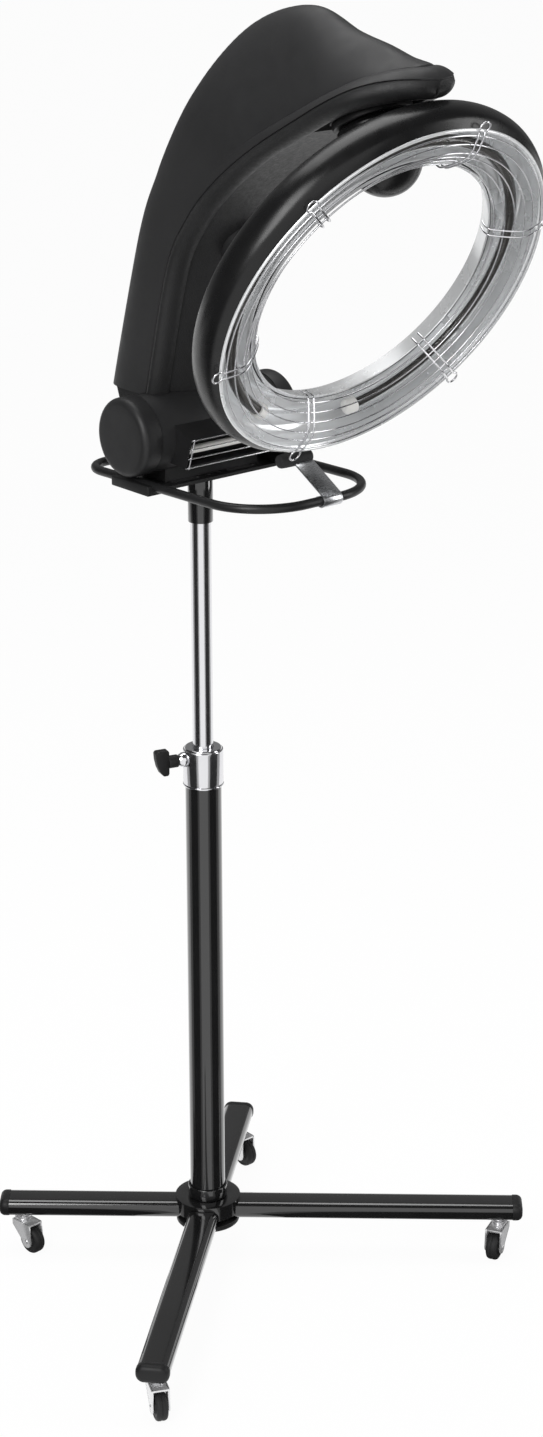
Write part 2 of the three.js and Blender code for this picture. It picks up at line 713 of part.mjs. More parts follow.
// A closed ring of round sections, one at each point
function closedBar(points, radius, sides) {
  const positions = [];
  const index = [];
  for (const { at, side } of points) {
    for (let k = 0; k < sides; k++) {
      const angle = (2 * Math.PI * k) / sides;
      const q = at.clone().addScaledVector(side, radius * Math.cos(angle));
      positions.push(q.x, q.y, q.z + radius * Math.sin(angle));
    }
  }
  for (let s = 0; s < points.length; s++) {
    const next = (s + 1) % points.length;
    for (let k = 0; k < sides; k++) {
      const j = (k + 1) % sides;
      const [a, b, c, d] = [s * sides + k, s * sides + j, next * sides + j, next * sides + k];
      index.push(a, b, c, a, c, d);
    }
  }
  const geometry = new THREE.BufferGeometry();
  geometry.setAttribute('position', new THREE.Float32BufferAttribute(positions, 3));
  geometry.setIndex(index);
  return outward(geometry);
}
mesh(cradle, 'bumper_loop', closedBar(loopPoints(4), LOOP_R, 8), satin(BLACK));

// Blocks on the ends of the plate, each with an open groove that the loop lies in
for (const [side, name] of [[-1, 'left'], [1, 'right']]) {
  const [near, far] = [side * (PLATE_HALF_W + SEAT_GAP), side * BLOCK_OUTER];
  const [left, right] = [Math.min(near, far), Math.max(near, far)];
  const block = box(left, right, -BLOCK_FRONT, BLOCK_REAR, -BLOCK_LOW, BLOCK_TOP);
  const bore = rod(LOOP_R + SEAT_GAP, -BLOCK_FRONT - 10, BLOCK_FRONT + 10, 16);
  bore.rotateX(Math.PI / 2 - rad(LOOP_PITCH));
  bore.translate(side * LOOP_HALF_W, 0, LOOP_Z);
  mesh(cradle, `loop_block_${name}`, cut(block, bore), satin(BLACK));
}

// Strap folded round the front of the loop, carrying a rubber pad on its upper end
const frontZ = LOOP_Z + LOOP_FRONT * loopSlope;
const eyeR = LOOP_R + SEAT_GAP + STRAP_T;
const strapShape = new THREE.Shape();
strapShape.absarc(0, 0, eyeR, Math.PI, 2.5 * Math.PI);
strapShape.lineTo(-STRAP_REACH, eyeR);
strapShape.lineTo(-STRAP_REACH, eyeR - STRAP_T);
strapShape.lineTo(-eyeR, eyeR - STRAP_T);
strapShape.closePath();
const eye = new THREE.Path();
eye.absarc(0, 0, LOOP_R + SEAT_GAP, 0, 2 * Math.PI);
strapShape.holes.push(eye);
const strapBody = extruded(strapShape, STRAP_W, 5);
strapBody.rotateX(Math.PI / 2);
strapBody.rotateZ(-Math.PI / 2);
strapBody.translate(STRAP_W / 2, 0, 0);
const strap = new THREE.Group();
strap.rotation.x = rad(STRAP_PITCH);
strap.position.set(STRAP_X, -LOOP_FRONT, frontZ);
cradle.add(strap);
mesh(strap, 'bumper_strap', outward(strapBody), metal(SILVER, 0.35));
const pad = turned([
  [0, -PAD_LENGTH / 2],
  [PAD_R - 3, -PAD_LENGTH / 2],
  [PAD_R, -PAD_LENGTH / 2 + 3],
  [PAD_R, PAD_LENGTH / 2 - 3],
  [PAD_R - 3, PAD_LENGTH / 2],
  [0, PAD_LENGTH / 2],
], 16);
pad.rotateY(Math.PI / 2);
pad.translate(-PAD_OFFSET, PAD_REACH, eyeR - STRAP_T / 2);
const slotHalf = STRAP_W / 2 + SEAT_GAP;
const slotLow = eyeR - STRAP_T - SEAT_GAP;
const padSlot = box(-slotHalf, slotHalf, 0, STRAP_REACH + SEAT_GAP, slotLow, eyeR + SEAT_GAP);
mesh(strap, 'bumper_pad', cut(pad, padSlot), satin(BLACK));

const drumCutter = (grow) => {
  const cylinder = rod(DRUM_R + grow, -DRUM_HALF_W - 40, DRUM_HALF_W + 40, 36);
  cylinder.rotateY(Math.PI / 2);
  return cylinder;
};
const saddleLow = -PLATE_BELOW_AXIS + SEAT_GAP;
const saddle = box(-SADDLE_HALF_W, SADDLE_HALF_W, -SADDLE_HALF_D, SADDLE_HALF_D, saddleLow, -DRUM_R * 0.8);
mesh(cradle, 'tilt_saddle', cut(saddle, drumCutter(RUN_GAP)), satin(BLACK));

// Drum and its end caps
const drum = rod(DRUM_R, -DRUM_HALF_W, DRUM_HALF_W, 36);
drum.rotateY(Math.PI / 2);
mesh(head, 'drum_housing', drum, gloss(BLACK));
for (const [side, name] of [[-1, 'left'], [1, 'right']]) {
  const fillet = [];
  for (let i = 0; i <= 2; i++) {
    const a = (Math.PI / 2) * (i / 2);
    fillet.push([CAP_R - CAP_FILLET * (1 - Math.cos(a)), CAP_W - CAP_FILLET * (1 - Math.sin(a))]);
  }
  const cap = turned([[0, SEAT_GAP], [CAP_R, SEAT_GAP], ...fillet, [0, CAP_W]], 26);
  cap.rotateY((side * Math.PI) / 2);
  mesh(head, `drum_cap_${name}`, cap, gloss(BLACK)).position.x = side * DRUM_HALF_W;
}

// Nape heater: an open-fronted trough on the drum, with a heating rod and a wire guard
const NAPE_TOP = [NAPE_REACH, NAPE_TOP_Z];
const NAPE_LOW = [NAPE_REACH - NAPE_LEAN, NAPE_TOP_Z - NAPE_MOUTH];
const napeRoot = DRUM_R * 0.65;
const napeRise = DRUM_R * 0.48;
const troughOuter = sideProfile(
  [[napeRoot, napeRise], NAPE_TOP, NAPE_LOW, [napeRoot, -napeRoot]],
  -NAPE_HALF_W,
  NAPE_HALF_W,
);
const troughInner = sideProfile(
  [
    [napeRoot - 10, napeRise - NAPE_WALL],
    [NAPE_TOP[0], NAPE_TOP[1] - NAPE_WALL],
    [NAPE_TOP[0] + 4, NAPE_TOP[1] - NAPE_WALL],
    [NAPE_LOW[0] + 4, NAPE_LOW[1] + NAPE_WALL],
    [napeRoot - 10, NAPE_LOW[1] + NAPE_WALL + 2],
  ],
  -NAPE_HALF_W + NAPE_WALL,
  NAPE_HALF_W - NAPE_WALL,
);
mesh(head, 'nape_shroud', cut(troughOuter, troughInner, drumCutter(SEAT_GAP)), satin(BLACK));
const napeRodEnd = NAPE_HALF_W - NAPE_WALL - SEAT_GAP;
const napeRod = rod(NAPE_HEATER_R, -napeRodEnd, napeRodEnd, 12);
napeRod.rotateY(Math.PI / 2);
napeRod.translate(0, -NAPE_REACH + NAPE_ROD_IN, NAPE_TOP_Z - NAPE_ROD_DOWN);
mesh(head, 'nape_heater', napeRod, satin(0xd9d2c4));

function napeGuard() {
  const along = new THREE.Vector2(NAPE_LOW[0] - NAPE_TOP[0], NAPE_LOW[1] - NAPE_TOP[1]);
  const out = new THREE.Vector2(-along.y, along.x).normalize().multiplyScalar(-1);
  if (out.x < 0) out.multiplyScalar(-1);
  const lift = GUARD_WIRE_R + SEAT_GAP;
  const place = (t) => [
    NAPE_TOP[0] + along.x * t + out.x * lift,
    NAPE_TOP[1] + along.y * t + out.y * lift,
  ];
  const pieces = [];
  for (let i = 0; i < GUARD_WIRES; i++) {
    const [f, z] = place(i / (GUARD_WIRES - 1));
    const wire = rod(GUARD_WIRE_R, -NAPE_HALF_W, NAPE_HALF_W, 4);
    wire.rotateY(Math.PI / 2);
    wire.translate(0, -f, z);
    pieces.push(wire);
  }
  for (let i = 0; i < GUARD_STAYS; i++) {
    const x = -NAPE_HALF_W + 4 + ((2 * NAPE_HALF_W - 8) * i) / (GUARD_STAYS - 1);
    const [f0, z0] = place(-0.04);
    const [f1, z1] = place(1.04);
    const curve = new THREE.LineCurve3(new THREE.Vector3(x, -f0, z0), new THREE.Vector3(x, -f1, z1));
    pieces.push(bar(curve, GUARD_WIRE_R, 1, 4));
  }
  return join(...pieces);
}
mesh(head, 'nape_guard', napeGuard(), metal(CHROME, 0.15));

// Hood sections: a station value, and the place and backward direction, at a share of the way along the seam
const hoodValue = {};
for (const key of Object.keys(HOOD_STATIONS[0])) {
  hoodValue[key] = new THREE.SplineCurve(HOOD_STATIONS.map((s, i) => new THREE.Vector2(i, s[key])));
}
function hoodStation(t) {
  const value = (key) => hoodValue[key].getPoint(t).y;
  const [before, after] = [Math.max(0, t - 0.01), Math.min(1, t + 0.01)];
  const slope = (key) => hoodValue[key].getPoint(after).y - hoodValue[key].getPoint(before).y;
  const place = new THREE.Vector3(0, -value('f'), value('z'));
  const along = new THREE.Vector3(0, -slope('f'), slope('z')).normalize();
  const blend = Math.min(1, t * 6.6);
  const back = new THREE.Vector3(0, along.z * blend + (1 - blend), -along.y * blend).normalize();
  return {
    place,
    back,
    half: value('half'),
    depth: value('back'),
    front: value('front'),
    rim: value('rim'),
    square: value('square'),
    brim: Math.max(0, value('brim')),
  };
}

// The rear shell's section, from one seam edge over the back to the other: a brim beside the seam, a crease
// above it and the domed back
function rearLoop(station, inset, reach) {
  const half = station.half - inset;
  const depth = station.depth - inset;
  const brimTop = Math.min(BRIM_H, depth * 0.7);
  const domeHalf = half - station.brim;
  const power = 2 / station.square;
  const side = [[half, 0], [half, brimTop * 0.6], [half - station.brim * 0.4, brimTop * 0.9]];
  const steps = 6;
  for (let i = 0; i <= steps; i++) {
    const angle = (Math.PI / 2) * (i / steps);
    const x = i === steps ? 0 : domeHalf * Math.cos(angle) ** power;
    side.push([x, brimTop + (depth - brimTop) * Math.sin(angle) ** power]);
  }
  const across = [...side, ...side.slice(0, -1).reverse().map(([x, d]) => [-x, d])];
  if (reach) across.push([-half, -reach], [half, -reach]);
  return across.map(([x, d]) => station.place.clone().addScaledVector(station.back, d).setX(x));
}

// The front cover's section: a rounded rim each side and a gently crowned panel between them
function frontLoop(station, inset, reach) {
  const loop = [];
  const half = station.half - inset;
  const rimW = Math.min(RIM_W, half * 0.6) - inset;
  const rimD = station.rim - inset;
  const side = [];
  const rimSteps = 3;
  for (let i = 0; i <= rimSteps; i++) {
    const a = (Math.PI / 2) * (i / rimSteps);
    side.push([half - rimW * (1 - Math.cos(a)), SEAT_GAP + rimD * Math.sin(a)]);
  }
  const panelD = SEAT_GAP + rimD - RIM_GROOVE;
  const crown = Math.max(0, station.front - station.rim);
  const panelHalf = half - rimW;
  for (let i = 0; i <= 3; i++) {
    const x = panelHalf * (1 - i / 3) - (i === 0 ? 1 : 0);
    side.push([x, panelD + crown * (1 - (x / panelHalf) ** 2)]);
  }
  const put = (x, d) => loop.push(station.place.clone().addScaledVector(station.back, -d).setX(x));
  for (const [x, d] of side) put(x, d);
  for (const [x, d] of side.slice(0, -1).reverse()) put(-x, d);
  if (reach) {
    put(-half, -reach);
    put(half, -reach);
  }
  return loop;
}

function hoodLoft(section, from, to, count, inset, reach) {
  const loops = [];
  for (let i = 0; i <= count; i++) {
    const station = hoodStation(from + ((to - from) * i) / count);
    loops.push(section(station, inset, reach));
  }
  return loops;
}

const orbitDown = new THREE.Vector3(0, -Math.sin(rad(ORBIT_TILT)), -Math.cos(rad(ORBIT_TILT)));
const orbitPlace = new THREE.Vector3(0, -ORBIT_F, ORBIT_Z);
// Puts a piece that is modelled with its axis along -Z at a place, along a direction
const placedAlong = (down, place) => {
  const turn = new THREE.Quaternion().setFromUnitVectors(new THREE.Vector3(0, 0, -1), down);
  return new THREE.Matrix4().makeRotationFromQuaternion(turn).setPosition(place);
};
const orbitMatrix = placedAlong(orbitDown, orbitPlace);

const rearOuter = loft(hoodLoft(rearLoop, 0, 1, HOOD_SECTIONS, 0, 0));
const rearInner = loft(hoodLoft(rearLoop, 0.018, 0.6, 10, HOOD_WALL, 3));
mesh(head, 'hood_rear_shell', cut(rearOuter, rearInner, drumCutter(SEAT_GAP)), gloss(CHARCOAL));

const seatTop = ROTOR_H + SEAT_GAP + SEAT_H;
const recess = rod(RECESS_R, -RECESS_R, seatTop + SEAT_GAP, 40).applyMatrix4(orbitMatrix);
const frontOuter = loft(hoodLoft(frontLoop, 0, 1, HOOD_SECTIONS, 0, 0));
mesh(head, 'hood_front_cover', cut(frontOuter, recess, drumCutter(SEAT_GAP)), satin(CHARCOAL));

// Round boss low on the panel, standing out along the panel's own direction
const bossStation = hoodStation(PANEL_BOSS_AT);
const bossOut = bossStation.back.clone().negate();
const panelBoss = turned([
  [0, bossStation.front * 0.4],
  [PANEL_BOSS_R, bossStation.front * 0.4],
  [PANEL_BOSS_R, bossStation.front + PANEL_BOSS_H * 0.4],
  [PANEL_BOSS_R * 0.93, bossStation.front + PANEL_BOSS_H * 0.7],
  [PANEL_BOSS_R * 0.74, bossStation.front + PANEL_BOSS_H * 0.92],
  [PANEL_BOSS_R * 0.5, bossStation.front + PANEL_BOSS_H],
  [0, bossStation.front + PANEL_BOSS_H],
], 16);
panelBoss.applyQuaternion(new THREE.Quaternion().setFromUnitVectors(new THREE.Vector3(0, 0, 1), bossOut));
panelBoss.translate(PANEL_BOSS_X, bossStation.place.y, bossStation.place.z);
const panelSkin = loft(hoodLoft(frontLoop, 0, 1, HOOD_SECTIONS, -SEAT_GAP, 0));
mesh(head, 'panel_boss', cut(panelBoss, panelSkin), satin(CHARCOAL));

const neckTop = HOOD_STATIONS[0].z - SEAT_GAP;
const neck = sideProfile(
  [
    [-DRUM_R - 28, neckTop],
    [-DRUM_R * 0.4, neckTop],
    [-DRUM_R * 0.4, DRUM_R * 0.43],
    [-DRUM_R + 2, -16],
    [-DRUM_R - 10, -8],
  ],
  -NECK_HALF_W,
  NECK_HALF_W,
);
mesh(head, 'hood_neck', cut(neck, drumCutter(SEAT_GAP)), satin(BLACK));

// Rotor under the lip: a fixed seat, the turning hub and its domed cap
const orbitFixed = new THREE.Group();
orbitFixed.applyMatrix4(orbitMatrix);
head.add(orbitFixed);
const seat = sleeve(SPINDLE_R + RUN_GAP, ROTOR_R + 3, ROTOR_H + SEAT_GAP + 0.5, seatTop);
mesh(orbitFixed, 'rotor_seat', seat, satin(BLACK));

const orbit = new THREE.Group();
orbit.applyMatrix4(orbitMatrix);
head.add(orbit);
const hub = turned([
  [0, SEAT_GAP],
  [ROTOR_R + 1.5, SEAT_GAP],
  [ROTOR_R + 1.5, 8],
  [ROTOR_R, 10],
  [ROTOR_R, ROTOR_H - 4],
  [ROTOR_R - 4, ROTOR_H],
  [SPINDLE_R, ROTOR_H],
  [SPINDLE_R, seatTop - 1],
  [0, seatTop - 1],
  [0, SEAT_GAP],
], 16);
mesh(orbit, 'rotor_hub', hub, gloss(BLACK));
const domeProfile = [[0, 0]];
for (let i = 0; i <= 6; i++) {
  const a = (Math.PI / 2) * (i / 6);
  domeProfile.push([DOME_R * Math.cos(a), -DOME_R * Math.sin(a)]);
}
mesh(orbit, 'rotor_dome', turned(domeProfile, 16), gloss(BLACK));

// Ring, modelled about Z with its open face along -Z, then set in the orbit frame
const ringDown = new THREE.Vector3(0, -Math.cos(rad(RING_TILT)), -Math.sin(rad(RING_TILT)));
const ringMatrix = placedAlong(ringDown, new THREE.Vector3(0, -RING_F, RING_Z));
const ringInOrbit = orbitMatrix.clone().invert().multiply(ringMatrix);
const ring = new THREE.Group();
ring.applyMatrix4(ringInOrbit);
orbit.add(ring);

// The shell's outside: [radius, height behind the rim]
const RING_FACETS = 28;
function ringOutside(grow) {
  const [o, i, d] = [RING_OUTER_R + grow, RING_INNER_R - grow, RING_DEPTH + grow];
  return [
    [RING_RIM_R + grow, -grow],
    [o - 3, d * 0.18],
    [o, d * 0.5],
    [o - 7, d * 0.86],
    [o - 22, d],
    [i + 26, d],
    [i + 8, d * 0.84],
    [i, d * 0.45 - grow],
  ];
}
const channel = ringOutside(-RING_WALL);
const shellProfile = [...ringOutside(0), ...channel.reverse()];
shellProfile.push(shellProfile[0]);
mesh(ring, 'ring_shell', turned(shellProfile, RING_FACETS), gloss(BLACK));

// The reflector lies in the channel, with two troughs round the tube's track. It is rolled into a bead over
// the outer rim and folded round the inner edge
const trackR = (RING_RIM_R + RING_INNER_R) / 2;
const trackZ = RING_DEPTH * 0.42;
const edgeZ = RING_DEPTH * 0.45;
const ridgeZ = RING_DEPTH - RING_WALL - SEAT_GAP - REFLECTOR_T - REFLECTOR_RIDGE;
function reflectorProfile() {
  const room = 2 * SEAT_GAP;
  const lining = ringOutside(-RING_WALL - SEAT_GAP).slice(1, -1);
  const bright = ringOutside(-RING_WALL - SEAT_GAP - REFLECTOR_T).reverse();
  bright.splice(3, 0, [trackR, ridgeZ]);
  const foldZ = RING_DEPTH * 0.84 + SEAT_GAP;
  const fold = [
    [RING_INNER_R + RING_WALL + room, edgeZ + 2 * room],
    [RING_INNER_R - room, edgeZ - room],
    [RING_INNER_R + 8 - room, foldZ],
    [RING_INNER_R + 8 - room - REFLECTOR_T, foldZ],
    [RING_INNER_R - room - REFLECTOR_T, edgeZ - room - REFLECTOR_T * 0.6],
    [RING_INNER_R + RING_WALL + REFLECTOR_T, edgeZ + SEAT_GAP],
  ];
  const bead = [
    [RING_RIM_R - BEAD * 1.3, -BEAD * 0.7],
    [RING_RIM_R, -BEAD * 1.3],
    [RING_RIM_R + BEAD * 0.6, -BEAD * 0.6],
    [RING_RIM_R, -SEAT_GAP - 0.4],
    [RING_RIM_R - RING_WALL - room, RING_WALL + 0.1],
  ];
  const profile = [...bead, ...lining, ...fold, ...bright];
  return [...profile, profile[0]];
}

// A clip that holds the tube: a saddle on the reflector's ridge, open towards the front
function tubeSupport(angle) {
  const half = TUBE_R + SUPPORT_PLAY + SUPPORT_WALL;
  const body = box(trackR - half, trackR + half, -SUPPORT_L / 2, SUPPORT_L / 2, trackZ, ridgeZ + 2);
  const seat = rod(TUBE_R + SUPPORT_PLAY, -SUPPORT_L, SUPPORT_L, 12);
  seat.rotateX(Math.PI / 2);
  seat.translate(trackR, 0, trackZ);
  const clip = cut(body, seat);
  clip.rotateZ(rad(angle));
  return clip;
}
const reflector = turned(reflectorProfile(), RING_FACETS);
mesh(ring, 'ring_reflector', join(reflector, ...SUPPORT_ANGLES.map(tubeSupport)), metal(SILVER, 0.2));

// Quartz tube on the track, open at the bottom of the ring, with a ceramic cap on each end
const tubeGap = rad(TUBE_GAP_ANGLE / 2);
class TrackCurve extends THREE.Curve {
  getPoint(t, target = new THREE.Vector3()) {
    const angle = rad(TUBE_GAP_AT) + tubeGap + t * (2 * Math.PI - 2 * tubeGap);
    return target.set(trackR * Math.cos(angle), trackR * Math.sin(angle), trackZ);
  }
}
mesh(ring, 'heater_tube', bar(new TrackCurve(), TUBE_R, 32, 6), satin(0xe8e4da));
for (const [side, name] of [[-1, 'left'], [1, 'right']]) {
  const angle = rad(TUBE_GAP_AT) + side * tubeGap;
  const inward = new THREE.Vector3(side * Math.sin(angle), -side * Math.cos(angle), 0);
  const cap = mesh(ring, `heater_end_${name}`, rod(CERAMIC_R, SEAT_GAP, CERAMIC_L, 12), satin(0xf2f0ea));
  cap.position.set(trackR * Math.cos(angle), trackR * Math.sin(angle), trackZ);
  cap.quaternion.setFromUnitVectors(new THREE.Vector3(0, 0, 1), inward);
}

// A curve that keeps its knots as corners, one step from knot to knot
class KnotCurve extends THREE.Curve {
  constructor(knots) {
    super();
    this.knots = knots;
  }

  getPoint(t, target = new THREE.Vector3()) {
    const last = this.knots.length - 1;
    const i = Math.min(Math.floor(t * last), last - 1);
    return target.copy(this.knots[i]).lerp(this.knots[i + 1], t * last - i);
  }

  getUtoTmapping(u) {
    return u;
  }
}
const knotBar = (knots, radius) => bar(new KnotCurve(knots), radius, knots.length - 1, 4);

// Guard over the open side: round wires from the rim to the inner edge, welded to one cross wire
const guardRise = RING_WIRE_R + 2.5;
const guardKnots = [
  [RING_RIM_R - 6, -guardRise],
  [trackR, -guardRise],
  [RING_INNER_R + 2, RING_DEPTH * 0.3],
];
function guardPlace(share) {
  const [rim, middle, inner] = guardKnots.map(([r, z]) => new THREE.Vector2(r, z));
  const outerRun = rim.distanceTo(middle);
  const innerRun = middle.distanceTo(inner);
  const run = share * (outerRun + innerRun);
  if (run < outerRun) return rim.lerp(middle, run / outerRun);
  return middle.lerp(inner, (run - outerRun) / innerRun);
}
function ringGuard() {
  const wires = [];
  for (let i = 0; i < RING_WIRES; i++) {
    const { x: r, y: z } = guardPlace(i / (RING_WIRES - 1));
    const w = RING_WIRE_R;
    wires.push(turned([[r + w, z + w / 2], [r - w, z + w / 2], [r, z - w], [r + w, z + w / 2]], 4 * CLIP_COUNT));
  }
  const weld = guardKnots.map(([r, z]) => new THREE.Vector3(r, 0, z + RING_WIRE_R));
  weld[0].x += RING_WIRE_R;
  weld[2].z += RING_WIRE_R;
  return join(...wires, knotBar(weld, RING_WIRE_R));
}
const guard = mesh(ring, 'ring_guard', ringGuard(), metal(CHROME, 0.15));
guard.rotation.z = rad(CLIP_FIRST_ANGLE + 360 / CLIP_COUNT);

// Hairpin clips: two legs across the guard, a round eye over the outer rim and hooks on the inner edge
function clipWire() {
  const away = CLIP_WIRE_R + SEAT_GAP;
  const over = RING_WIRE_R + away + 0.3;
  const hookR = RING_INNER_R - 2 * SEAT_GAP - REFLECTOR_T - away - HOOK_ROOM;
  const leg = [
    [hookR + 2, RING_DEPTH * 0.62],
    [hookR, edgeZ - REFLECTOR_T],
    [RING_INNER_R + 2 - over * 0.6, RING_DEPTH * 0.3 - over * 0.8],
    [trackR - 2, -guardRise - over],
    [RING_RIM_R - 6, -guardRise - over],
    [RING_RIM_R + 5 + away, -away * 0.4],
    [RING_OUTER_R - 2 + away, RING_DEPTH * 0.24],
  ];
  const knot = (r, z, side) => new THREE.Vector3(r, side * CLIP_HALF_W, z);
  const half = (side) => [
    ...leg.map(([r, z]) => knot(r, z, side)),
    knot(RING_OUTER_R + away, RING_DEPTH * 0.34, side * 0.7),
  ];
  const eye = knot(RING_OUTER_R + away + 0.4, RING_DEPTH * 0.39, 0);
  return knotBar([...half(1), eye, ...half(-1).reverse()], CLIP_WIRE_R);
}
for (let i = 0; i < CLIP_COUNT; i++) {
  const clip = mesh(ring, `ring_clip_${i + 1}`, clipWire(), metal(CHROME, 0.15));
  clip.rotation.z = rad(CLIP_FIRST_ANGLE + (360 / CLIP_COUNT) * i);
}

// Lug between the turning hub and the back of the ring
const lugBlock = box(-LUG_HALF_W, LUG_HALF_W, -ROTOR_R - 34, -ROTOR_R + 8, 12, 12 + LUG_T);
const envelope = ringOutside(SEAT_GAP);
const ringEnvelope = turned([...envelope, envelope[0]], RING_FACETS).applyMatrix4(ringInOrbit);
const hubRoom = rod(ROTOR_R + SEAT_GAP, -10, ROTOR_H + 18, 40);
mesh(orbit, 'ring_lug', cut(lugBlock, hubRoom, ringEnvelope), satin(BLACK));

export default part;
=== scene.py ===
# %% [markdown]
# # A hair colour processor on a rolling stand
# A heated ring orbits the client's head under an arched hood. The hood sits on a drum that tilts, and a
# telescopic mast on four casters carries it all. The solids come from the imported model. This lesson gives
# each one the rounded edges, wires and finishes that the real pieces have, in the same place.

# %% Load the model
import math

import bmesh
import bpy
from mathutils import Matrix, Vector


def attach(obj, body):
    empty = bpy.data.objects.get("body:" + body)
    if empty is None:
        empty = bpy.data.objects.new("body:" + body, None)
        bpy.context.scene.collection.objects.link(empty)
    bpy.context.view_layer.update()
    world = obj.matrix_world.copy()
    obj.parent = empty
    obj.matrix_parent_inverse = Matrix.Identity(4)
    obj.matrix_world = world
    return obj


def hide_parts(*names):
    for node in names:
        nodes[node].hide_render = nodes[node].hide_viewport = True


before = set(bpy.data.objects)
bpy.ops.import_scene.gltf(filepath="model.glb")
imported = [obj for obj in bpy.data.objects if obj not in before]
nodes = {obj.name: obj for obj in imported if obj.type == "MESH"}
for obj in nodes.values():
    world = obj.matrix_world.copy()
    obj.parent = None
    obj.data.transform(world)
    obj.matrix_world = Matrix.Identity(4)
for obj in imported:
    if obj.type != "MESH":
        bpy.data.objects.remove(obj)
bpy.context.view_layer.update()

# %% [markdown]
# ## Camera
# The picture is taken from the front left, a little above the head. The camera is placed by its direction
# round the mast, its distance and its height, and then aimed by its heading, its dip and a very small roll.

# %% Set the camera
IMAGE_HEIGHT_PX = 1437
FOCAL_PX = 2919.2
AZIMUTH, PAN = -38.728, -1.437
camera_azimuth = math.radians(AZIMUTH)
camera_heading = math.radians(AZIMUTH + PAN)
camera_dip = math.radians(20.111)
camera_roll = math.radians(-0.125)
camera_distance = 3.3668
camera_height = 1.9736

bpy.ops.object.camera_add()
camera = bpy.context.active_object
camera.matrix_world = (
    Matrix.Translation((
        math.sin(camera_azimuth) * camera_distance,
        -math.cos(camera_azimuth) * camera_distance,
        camera_height,
    ))
    @ Matrix.Rotation(camera_heading, 4, "Z")
    @ Matrix.Rotation(math.pi / 2 - camera_dip, 4, "X")
    @ Matrix.Rotation(camera_roll, 4, "Z")
)
camera.data.sensor_width = 36
camera.data.lens = FOCAL_PX * camera.data.sensor_width / IMAGE_HEIGHT_PX
bpy.context.scene.camera = camera
bpy.context.scene.view_settings.view_transform = "Standard"
print("lens in mm:", round(camera.data.lens, 2))

# %% [markdown]
# ## Floor, background and light
# A product photo has a white surround and soft light. The floor and the world are white to the camera, in
# mirrors and through glass, and softer for everything else, so that the white doesn't flood the object with
# light. Polished tubes look polished only when they mirror something dark too. So dark cards lie on the
# floor, stand at the sides and hang overhead, with a grey one behind, and only mirrors can see them.

# %% Make the floor and the world
def give(node, values):
    """Sets a shader node's inputs by name."""
    for key, value in values.items():
        node.inputs[key].default_value = value


def new_material(name):
    material = bpy.data.materials.new(name)
    material.use_nodes = True
    return material, material.node_tree


def is_seen_ray(tree):
    """1 for rays that show the surround: from the camera, in a mirror or through glass."""
    path = tree.nodes.new("ShaderNodeLightPath")
    seen = path.outputs["Is Camera Ray"]
    for kind in ("Is Glossy Ray", "Is Transmission Ray"):
        larger = tree.nodes.new("ShaderNodeMath")
        larger.operation = "MAXIMUM"
        tree.links.new(seen, larger.inputs[0])
        tree.links.new(path.outputs[kind], larger.inputs[1])
        seen = larger.outputs[0]
    return seen


SOFT_WORLD, WHITE_WORLD = 0.45, 1.0
world = bpy.data.worlds.new("studio")
bpy.context.scene.world = world
world.use_nodes = True
sky = world.node_tree
soft_grey = sky.nodes["Background"]
give(soft_grey, {"Color": (1, 1, 1, 1), "Strength": SOFT_WORLD})
white = sky.nodes.new("ShaderNodeBackground")
give(white, {"Color": (1, 1, 1, 1), "Strength": WHITE_WORLD})
chooser = sky.nodes.new("ShaderNodeMixShader")
sky.links.new(is_seen_ray(sky), chooser.inputs["Fac"])
sky.links.new(soft_grey.outputs[0], chooser.inputs[1])
sky.links.new(white.outputs[0], chooser.inputs[2])
sky.links.new(chooser.outputs[0], sky.nodes["World Output"].inputs["Surface"])

FLOOR_SIZE = 70
FLOOR_WHITE = 0.95
bpy.ops.mesh.primitive_plane_add(size=FLOOR_SIZE, location=(0, 0, 0))
floor = bpy.context.active_object
floor.name = "floor"
floor_paint, paint = new_material("pale floor")
matt = paint.nodes["Principled BSDF"]
give(matt, {"Base Color": (0.93, 0.93, 0.93, 1), "Roughness": 0.9, "Specular IOR Level": 0.0})
glow = paint.nodes.new("ShaderNodeEmission")
share = paint.nodes.new("ShaderNodeMath")
share.operation = "MULTIPLY"
share.inputs[1].default_value = FLOOR_WHITE
lift = paint.nodes.new("ShaderNodeMixShader")
paint.links.new(is_seen_ray(paint), share.inputs[0])
paint.links.new(share.outputs[0], lift.inputs["Fac"])
paint.links.new(matt.outputs[0], lift.inputs[1])
paint.links.new(glow.outputs[0], lift.inputs[2])
paint.links.new(lift.outputs[0], paint.nodes["Material Output"].inputs["Surface"])
floor.data.materials.append(floor_paint)
print("floor size in metres:", FLOOR_SIZE)


# %% Hang the cards and the lamps
SIDES = ((-1, "left"), (1, "right"))
CARD_NEAR, CARD_FAR = 0.1, 9
FLOOR_CARDS = ((27, 38, 0.4), (38, 86, 0.03), (86, 106, 0.35))
WALL_CARD = {"bearings": (45, 125), "reach": 5.4, "heights": (0, 7)}
BACK_CARD = {"bearings": (125, 235), "reach": 6, "heights": (0.9, 8)}
CEILING_BEARINGS, CEILING_REACH, CEILING_HEIGHT = (-45, 45, -135, 135), 8, 6
DARK, GREY = 0.05, 0.2


def card(name, corners, level):
    """A studio card that only mirrors see."""
    bpy.ops.mesh.primitive_plane_add(size=1)
    board = bpy.context.active_object
    board.name = name
    for vertex, corner in zip(board.data.vertices, corners):
        vertex.co = corner
    shade, tree = new_material(name)
    flat = tree.nodes.new("ShaderNodeEmission")
    flat.inputs["Color"].default_value = (level, level, level, 1)
    tree.links.new(flat.outputs[0], tree.nodes["Material Output"].inputs["Surface"])
    board.data.materials.append(shade)
    board.visible_camera = board.visible_diffuse = False
    board.visible_shadow = board.visible_transmission = False


